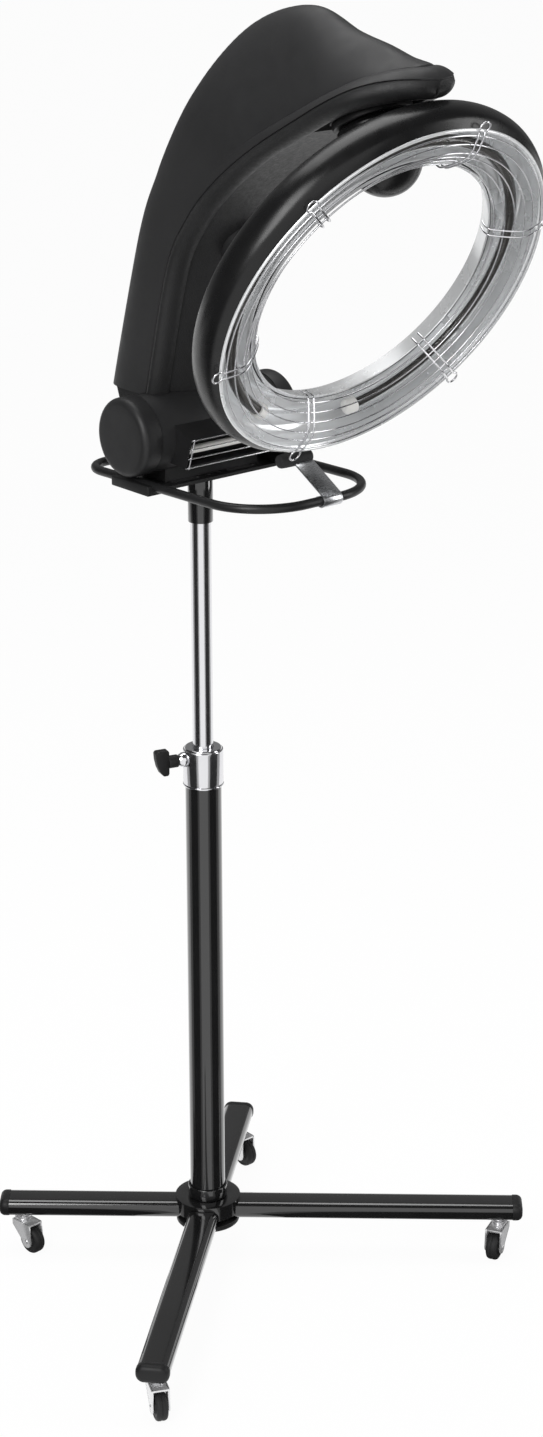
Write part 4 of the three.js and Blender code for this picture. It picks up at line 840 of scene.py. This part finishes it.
cap_profile = [(0, FIT), (DRUM_CAP_R, FIT)]
cap_profile += arc((DRUM_CAP_R - DRUM_CAP_ROUND, DRUM_CAP_SIDE), DRUM_CAP_ROUND, 0, 90, 8)
cap_profile += [(r, DRUM_CAP_TOP) for r in (30, 15, 0)]
for side, name in SIDES:
    cap = soften(spun(f"drum_end_{name}", cap_profile, 128), 0.6, 2, 60)
    put(cap, moved(side * DRUM_HALF, 0, TILT_Z) @ turned(90 * side, "Y"))
    hand_over(smooth(cap), "head", "black_gloss_plastic", drum_plastic, f"drum_cap_{name}")

nape_rod = soften(plain_ring("nape_rod", 0, NAPE_ROD_R, -NAPE_ROD_HALF, NAPE_ROD_HALF, 32), 0.8, 2)
put(nape_rod, HEAD @ moved(0, -56, -12) @ turned(90, "Y"))
hand_over(smooth(nape_rod), "head", "white_ceramic", ceramic, "nape_heater")

guard_top, guard_low = Vector((0, -73, 3)), Vector((0, -62, -32))
guard_out = Vector((0, -0.954, 0.3)) * 1.5
NAPE_WIRES, NAPE_WIRE_R, NAPE_STAY_R = 4, 0.7, 0.9
guard_wires = []
for i in range(NAPE_WIRES):
    spot = guard_top.lerp(guard_low, i / (NAPE_WIRES - 1)) + guard_out
    guard_wires.append(wire("guard_wire", [spot + Vector((x, 0, 0)) for x in (-72, 72)], NAPE_WIRE_R))
for x in (-68, 68):
    ends = [guard_top.lerp(guard_low, t) + guard_out * 1.5 + Vector((x, 0, 0)) for t in (-0.04, 1.04)]
    guard_wires.append(wire("guard_stay", ends, NAPE_STAY_R))
guard = put(smooth(joined("nape_wires", *guard_wires), 60), HEAD)
hand_over(guard, "head", "chrome", chrome, "nape_guard")
print("guard wires:", len(guard_wires))

# %% [markdown]
# ## Hood
# The hood is two mouldings that meet in a seam: a smooth rear shell and a grained front cover with a
# rolled rim. It changes width, depth and squareness all the way up, so it is drawn as stations along the
# seam. A grid is added for each moulding, and every point of the grid is put on the surface through them.
# The drum's room is then cut out of both.

# %% Stations along the seam
HOOD = {
    "f": (-7, 34, 72, 120, 184, 262, 300, 332, 356, 376, 391, 401, 405),
    "z": (43, 196, 259, 306, 350, 392, 412, 427.5, 436.5, 441, 442.3, 442, 441),
    "half": (75, 75, 75, 75, 75, 75, 73, 66.5, 56, 43.5, 31, 18, 1),
    "back": (89, 81, 96, 119, 143, 122, 77.5, 47, 25, 15, 12, 11, 11),
    "front": (26, 26, 23, 17, 15, 16, 17, 20, 22, 22, 22, 22, 22),
    "rim": (16, 16, 16, 16, 15, 16, 17, 20, 22, 22, 22, 22, 22),
    "square": (4, 4, 3.5, 3, 1.5, 1.1, 1.1, 1.1, 1.1, 1.4, 1.4, 1.4, 1.4),
    "ridge": (0, 0, 0, 4, 14, 22, 20, 16, 12, 8, 6, 4, 4),
    "brim": (0, 0, 0, 0, 4, 12, 17, 20, 20, 20, 20, 20, 20),
}
LAST_STATION = len(HOOD["f"]) - 1
ROWS = 150
BRIM_H, RIM_W, RIM_GROOVE = 11, 22, 4
SEAM_GROOVE, SHELL_WALL = 0.9, 4
SLOPE_STEP, LEVEL_FADE = 0.1, 0.6


def on_line(values, s):
    """A value on the smooth line through a row of values, at a place that may lie between two of them."""
    last = len(values) - 1
    i = min(int(s), last - 1)
    w = s - i
    a, b, c, d = (values[min(max(k, 0), last)] for k in (i - 1, i, i + 1, i + 2))
    m, n = (c - a) / 2, (d - b) / 2
    return (2 * b - 2 * c + m + n) * w**3 + (-3 * b + 3 * c - 2 * m - n) * w**2 + m * w + b


def along(key, s):
    return on_line(HOOD[key], s)


def seam_frame(s):
    """The seam's place and the direction to the back of the hood there, which is level at the foot."""
    low, high = max(0, s - SLOPE_STEP), min(LAST_STATION, s + SLOPE_STEP)
    forward = along("f", high) - along("f", low)
    upward = along("z", high) - along("z", low)
    length = math.hypot(forward, upward)
    blend = min(1, s * LEVEL_FADE)
    back = Vector((0, upward / length * blend + 1 - blend, forward / length * blend)).normalized()
    return Vector((0, -along("f", s), along("z", s))), back


def lofted(name, section):
    """A closed body through sections of (across, depth behind the seam) pairs, from a wrapped grid."""
    columns = len(section(1))
    bpy.ops.mesh.primitive_grid_add(x_subdivisions=columns, y_subdivisions=ROWS, size=1)
    obj = started(name)
    lines = []
    for row in range(ROWS + 1):
        s = LAST_STATION * row / ROWS
        place, back = seam_frame(s)
        lines.append([place + back * d + Vector((x, 0, 0)) for x, d in section(s)])
    for vertex in obj.data.vertices:
        column, row = round((vertex.co.x + 0.5) * columns), round((vertex.co.y + 0.5) * ROWS)
        vertex.co = lines[row][column % columns] * MM
    edit(obj)
    bpy.ops.mesh.remove_doubles(threshold=MERGE_WITHIN)
    bpy.ops.mesh.select_all(action="DESELECT")
    bpy.ops.mesh.select_non_manifold()
    bpy.ops.mesh.edge_face_add()
    leave_edit()
    return clean(obj)


def mirrored(side):
    """A whole section from its right half."""
    return side + [(-x, d) for x, d in side[-2::-1]]


print("stations:", LAST_STATION + 1)


# %% Rear shell
BRIM_STEPS, DOME_STEPS, HALVINGS = 9, 30, 16
ROOM_HALF = 130
edge_line = []
run = 0
last_spot = seam_frame(0)[0]
for row in range(ROWS + 1):
    station = LAST_STATION * row / ROWS
    spot = seam_frame(station)[0]
    run += (spot - last_spot).length
    edge_line.append((run, along("half", station)))
    last_spot = spot


def from_edge(row, x):
    """How far a point is from the hood's edge, measured in the seam's surface."""
    return min(math.hypot(run - edge_line[row][0], half - x) for run, half in edge_line)


def strip(s, width, steps):
    """Points across a strip along the edge, from the edge inwards, as (across, share of its width)."""
    row = round(s * ROWS / LAST_STATION)
    half = along("half", s)
    inner, outer = 0, half
    for _ in range(HALVINGS):
        middle = (inner + outer) / 2
        if from_edge(row, middle) < width:
            outer = middle
        else:
            inner = middle
    across = [half - (half - inner) * (i / steps) ** 1.5 for i in range(steps + 1)]
    return [(x, min(1, from_edge(row, x) / width)) for x in across]


def shell_line(s):
    """The outside of the shell at a station: rolled brims, soft creases and the domed back."""
    half, depth, brim = along("half", s), along("back", s), max(0.01, along("brim", s))
    square, ridge = along("square", s), max(0.01, along("ridge", s))
    groove = min(SEAM_GROOVE, half / 2)
    side = [(half - groove, 0)]
    for x, share in strip(s, brim, BRIM_STEPS):
        side.append((x, groove + (BRIM_H - groove) * (1 - (1 - share) ** 2)))
    inner, level = side[-1]
    span = math.hypot(inner, ridge) - ridge
    rise = max(0, depth - BRIM_H) if inner > 1 else 0
    for i in range(1, DOME_STEPS + 1):
        x = inner * math.cos(math.pi / 2 * i / DOME_STEPS) if i < DOME_STEPS else 0
        share = (math.hypot(x, ridge) - ridge) / span if inner > 1 else 1
        side.append((x, level + rise * max(0, 1 - share**square) ** (1 / square)))
    return mirrored(side)


def shell_section(s):
    """The outside of the shell and, scaled down by the wall, its inside."""
    outside = shell_line(s)
    half, depth = along("half", s), along("back", s)
    wall = min(SHELL_WALL, 0.45 * depth, 0.45 * half)
    inside = [(x * (1 - wall / half), d * (1 - wall / depth)) for x, d in outside]
    return outside + inside[::-1]


shell = lofted("hood_shell", shell_section)
drum_room = plain_ring("drum_room", 0, DRUM_R + FIT, -ROOM_HALF, ROOM_HALF, 128)
put(drum_room, turned(90, "Y"))
cut(shell, drum_room)
hand_over(put(smooth(shell, 60), HEAD), "head", "charcoal_gloss_plastic", shell_plastic, "hood_rear_shell")
print("shell faces:", len(shell.data.polygons))


# %% Front cover
POCKET_FROM, POCKET_DEPTH = 4.8, 9
ROLL_OVER, RIM_BULGE, RIM_STEPS, PANEL_STEPS = 1.42, 3, 16, 8
PEDESTAL_R, PEDESTAL_LOW, PEDESTAL_HIGH = 46, 50.6, 66


def cover_section(s):
    """A rolled rim along the edge, a groove and a crowned panel, which is set back under the hood's tip."""
    half, rim_d = along("half", s), along("rim", s)
    crown = max(0, along("front", s) - rim_d)
    panel_d = rim_d - RIM_GROOVE
    if s > POCKET_FROM:
        panel_d -= POCKET_DEPTH
    groove = min(SEAM_GROOVE, half / 2)
    side = [(half - groove, -FIT)]
    for x, share in strip(s, RIM_W, RIM_STEPS):
        roll = math.sqrt(1 - (1 - ROLL_OVER * share) ** 2)
        bulge = min(RIM_BULGE, half / 4) * 4 * roll * (1 - roll) if share < 0.5 else 0
        side.append((x + bulge, -FIT - groove - (rim_d - groove) * roll))
    inner, level = side[-1]
    flat = max(0, inner - 0.8)
    for i in range(PANEL_STEPS + 1):
        x = flat * (1 - i / PANEL_STEPS)
        bulge = crown * (1 - (x / inner) ** 2) if inner > 1 else 0
        side.append((x, -FIT - panel_d - bulge if inner > 1 else level))
    return mirrored(side)


ORBIT = HEAD @ moved(0, -320, 350) @ turned(-26, "X")
cover = lofted("hood_cover", cover_section)
cut(cover, drum_room)
bpy.data.objects.remove(drum_room)
put(cover, HEAD)
pedestal = soften(plain_ring("pedestal", 0, PEDESTAL_R, PEDESTAL_LOW, PEDESTAL_HIGH), 1)
cover = smooth(joined("hood_cover", cover, put(pedestal, ORBIT)))
hand_over(cover, "head", "charcoal_grained_plastic", grained_rim, "hood_front_cover")
print("cover faces:", len(cover.data.polygons))

# %% Boss on the panel
BOSS_STATION, BOSS_R, BOSS_H, BOSS_ROUND, BOSS_ROOT = 1.474, 30, 12, 15, 8
BOSS_X = 12
boss_place, boss_back = seam_frame(BOSS_STATION)
panel_level = along("front", BOSS_STATION)
shoulder = 0.4 * BOSS_H
boss_line = [(0, panel_level - BOSS_ROOT), (BOSS_R, panel_level - BOSS_ROOT)]
boss_line += arc((BOSS_R - BOSS_ROUND, panel_level + shoulder), BOSS_ROUND, 0, 90, 8, BOSS_H - shoulder)
boss_line.append((0, panel_level + BOSS_H))
boss = spun("panel_dome", boss_line, 72)
lean = (-boss_back).to_track_quat("Z", "X").to_matrix().to_4x4()
put(smooth(boss), HEAD @ moved(boss_place.x + BOSS_X, boss_place.y, boss_place.z) @ lean)
hand_over(boss, "head", "charcoal_grained_plastic", shell_plastic, "panel_boss")
print("boss radius in mm:", BOSS_R)

# %% [markdown]
# ## Rotor
# Under the tip of the hood a round seat holds the turning hub, which ends in a dome. They are turned
# shapes about the orbit's axis, which leans forward from the vertical.

# %% Seat, hub and dome
SEAT_BORE, SEAT_R, SEAT_LOW, SEAT_HIGH = 12.4, 45, 42.8, 50.3
DOME_R = 41
seat = soften(plain_ring("turning_seat", SEAT_BORE, SEAT_R, SEAT_LOW, SEAT_HIGH), 1)
hand_over(put(smooth(seat), ORBIT), "head", "black_satin_plastic", satin_plastic, "rotor_seat")
hub_line = [
    (0, FIT), (42, FIT), (43.5, 3), (43.5, 8), (42, 10),
    (42, 38), (38, 42), (12, 42), (12, 49.3), (0, 49.3),
]
hub = soften(spun("turning_hub", hub_line), 0.8)
hand_over(put(smooth(hub), ORBIT), "halo", "black_gloss_plastic", gloss_plastic, "rotor_hub")
dome = spun("turning_dome", [(0, 0)] + arc((0, 0), DOME_R, 0, -90, 24))
hand_over(put(smooth(dome), ORBIT), "halo", "black_gloss_plastic", gloss_plastic, "rotor_dome")
print("rotor on the orbit axis")

# %% [markdown]
# ## Heated ring
# The ring is a deep round channel. A bright sheet lines it: it is rolled into a bead over the outer rim,
# pressed into two troughs and folded round the inner edge. Channel and lining are profiles that are spun
# about the ring's own axis, and two small saddles on the ridge between the troughs hold the tube.

# %% Channel
RING = HEAD @ moved(0, -322, 203) @ turned(-61.5, "X")
RING_WALL = 3
RING_KNOTS = [(215, 0), (225, 9.2), (228, 25.5), (221, 43.9), (206, 51), (184, 51), (166, 42.8), (158, 23)]


def through(knots, steps):
    """A smooth open line through the knots."""
    points = [Vector(k) for k in knots]
    return [on_line(points, s * (len(points) - 1) / steps) for s in range(steps + 1)]


def inset_line(line, depth):
    """The same line moved towards the inside of the channel."""
    inner = []
    for i, point in enumerate(line):
        way = (line[min(i + 1, len(line) - 1)] - line[max(i - 1, 0)]).normalized()
        inner.append(point + Vector((-way.y, way.x)) * depth)
    return inner


ring_line = through(RING_KNOTS, 42)
channel_line = ring_line + inset_line(ring_line, RING_WALL)[::-1]
ring_shell = soften(spun("halo_shell", [tuple(p) for p in channel_line], 180, closed=True), 1, 3, 50)
hand_over(put(smooth(ring_shell, 50), RING), "halo", "black_gloss_plastic", gloss_plastic, "ring_shell")
print("channel faces:", len(ring_shell.data.polygons))

# %% Bright lining with its saddles
TRACK_R, TRACK_Z = 186.5, 21.42
RIDGE_Z, TROUGH_Z, RIDGE_HALF = 38.2, 46.2, 16
SHEET = 1.5
BEAD_AT, BEAD_R = (214.2, -0.7), 2
SADDLE_ANGLES = (-20.5, 29)
SADDLE_R, SADDLE_HALF, SADDLE_H, SADDLE_T = 8, 10, 18, 8
fine_line = through(RING_KNOTS, 84)
hidden_side = inset_line(fine_line, RING_WALL + FIT)[6:-5]
bright_side = []
for point in inset_line(fine_line, RING_WALL + FIT + SHEET)[3:-3]:
    hump = max(0, 1 - abs(point.x - TRACK_R) / RIDGE_HALF)
    bright_side.append(Vector((point.x, point.y - (TROUGH_Z - RIDGE_Z) * (3 - 2 * hump) * hump**2)))
bead = arc(BEAD_AT, BEAD_R, 10, -180, 8)
fold = [(162.3, 23.4), (156.2, 21.3), (155.8, 22), (163.9, 43.1), (165.4, 43.1), (157.3, 22.5), (161.4, 24.3)]
lining = (
    bead
    + [tuple(p) for p in bright_side]
    + fold
    + [tuple(p) for p in reversed(hidden_side)]
    + [(211.4, 3.1), (215, -0.4)]
)
reflector = smooth(spun("reflector", lining, 180, closed=True), 35)
saddle_line = [(-SADDLE_HALF, 0)] + arc((0, 0), SADDLE_R, 180, 0, 12)
saddle_line += [(SADDLE_HALF, 0), (SADDLE_HALF, SADDLE_H), (-SADDLE_HALF, SADDLE_H)]
saddles = []
for angle in SADDLE_ANGLES:
    saddle = soften(plate("saddle", saddle_line, SADDLE_T), 0.5, 2)
    spot = turned(angle, "Z") @ moved(TRACK_R, 0, TRACK_Z)
    saddles.append(put(smooth(saddle), spot))
reflector = put(joined("reflector", reflector, *saddles), RING)
hand_over(reflector, "halo", "reflector_aluminium", mirror_sheet, "ring_reflector")
print("lining faces:", len(reflector.data.polygons))

# %% [markdown]
# ## Quartz tube
# A quartz tube with a dark carbon element in it runs round the middle of the channel, and its two ceramic
# ends face each other across a gap. The tube is a round bar along a line of points.

# %% Tube, element and ends
GAP_AT, GAP = 99, 50
QUARTZ_R, ELEMENT_R = 7, 3.2
first, last = GAP_AT + GAP / 2, GAP_AT + 360 - GAP / 2
track = [(x, y, TRACK_Z) for x, y in arc((0, 0), TRACK_R, first, last, 160)]
tube = wire("quartz_tube", track, QUARTZ_R, roundness=6)
hand_over(put(smooth(tube, 60), RING), "halo", "quartz", quartz, "heater_tube")
element = wire("heating_element", track, ELEMENT_R, roundness=4)
hand_over(put(smooth(element, 60), RING), "halo", "quartz", element_dark)

holder_line = [(0, FIT), (9, FIT), (9, 12), (7.4, 14.5), (5, 16), (0, 16)]
for side, name in SIDES:
    angle = math.radians(GAP_AT + side * GAP / 2)
    holder = soften(spun(f"ceramic_end_{name}", holder_line, 40), 0.7, 2)
    inward = Vector((side * math.sin(angle), -side * math.cos(angle), 0))
    spin = inward.to_track_quat("Z", "X").to_matrix().to_4x4()
    spot = moved(TRACK_R * math.cos(angle), TRACK_R * math.sin(angle), TRACK_Z)
    put(smooth(holder), RING @ spot @ spin)
    hand_over(holder, "halo", "white_ceramic", ceramic, f"heater_end_{name}")
print("tube length in mm:", round(math.radians(last - first) * TRACK_R))

# %% [markdown]
# ## Wire guard and clips
# Six round wires keep fingers out of the channel, with one cross wire welded behind them. Six hairpins hold
# them: each hooks on the inner edge, crosses the wires with two legs and ends in a round eye on the outside.
# All of them are bars along lines of points, and the hairpin is made once and copied.

# %% Guard wires
GUARD_KNOTS = [Vector((209, -3.5)), Vector((186.5, -3.5)), Vector((160, 15.3))]
RING_WIRES, RING_WIRE_R, WELD_R = 6, 0.85, 1
CLIP_COUNT, CLIP_FIRST = 6, 41
CLIP_STEP = 360 / CLIP_COUNT
# how far the cross wire lies out from the guard's bends and behind them
WELD_SHIFTS = ((1, 1.6), (0, 1.6), (0, 2))


def guard_place(share):
    """A point on the guard's bent section, at a share of its length."""
    runs = [(GUARD_KNOTS[1] - GUARD_KNOTS[0]).length, (GUARD_KNOTS[2] - GUARD_KNOTS[1]).length]
    run = share * sum(runs)
    if run < runs[0]:
        return GUARD_KNOTS[0].lerp(GUARD_KNOTS[1], run / runs[0])
    return GUARD_KNOTS[1].lerp(GUARD_KNOTS[2], (run - runs[0]) / runs[1])


hoops = []
for i in range(RING_WIRES):
    radius, height = guard_place(i / (RING_WIRES - 1))
    circle = [(x, y, height) for x, y in arc((0, 0), radius, 0, 360, 160)[:-1]]
    hoops.append(wire("hoop", circle, RING_WIRE_R, closed=True, roundness=2))
weld_line = [(k.x + out, 0, k.y + behind) for k, (out, behind) in zip(GUARD_KNOTS, WELD_SHIFTS)]
weld = put(wire("weld", weld_line, WELD_R), turned(CLIP_FIRST + CLIP_STEP, "Z"))
guard = put(smooth(joined("halo_wires", *hoops, weld), 60), RING)
hand_over(guard, "halo", "chrome", chrome, "ring_guard")
print("guard wires:", RING_WIRES)

# %% Hairpin clips
LEG, EYE_R, CLIP_WIRE_R = 4.5, 7, 1.1
EYE_X, EYE_Z = 219.5, -3.5
HOOK_KNOTS = [(155.4, 31.6), (153.4, 21.45), (158.3, 13.1), (184.5, -6.3), (205, -6.3), (212.5, -4.4)]
out_leg = [(p.x, LEG, p.y) for p in through(HOOK_KNOTS, 42)]
back_leg = [(x, -y, z) for x, y, z in reversed(out_leg)]
eye = [(x, y, EYE_Z) for x, y in arc((EYE_X, 0), EYE_R, 140, -140, 24)]
clip = smooth(wire("clip", out_leg + eye + back_leg, CLIP_WIRE_R, roundness=2), 60)
for i in range(CLIP_COUNT):
    turn = turned(CLIP_FIRST + CLIP_STEP * i, "Z")
    hairpin = put(copy_of(clip, f"hairpin_{i + 1}"), RING @ turn)
    hand_over(hairpin, "halo", "chrome", chrome, f"ring_clip_{i + 1}")
bpy.data.objects.remove(clip)
print("hairpins:", CLIP_COUNT)

# %% [markdown]
# ## Pieces that keep their CAD shape
# Flat plates and hidden supports already have the right shape. They only need their finish.

# %% Finish the remaining CAD pieces
kept = {
    "tray_plate": satin_paint,
    "tilt_saddle": satin_plastic,
    "nape_shroud": satin_plastic,
    "hood_neck": satin_plastic,
    "ring_lug": satin_plastic,
}
for name, finish in kept.items():
    nodes[name].data.materials.clear()
    nodes[name].data.materials.append(finish)
print("kept from the CAD model:", list(kept))
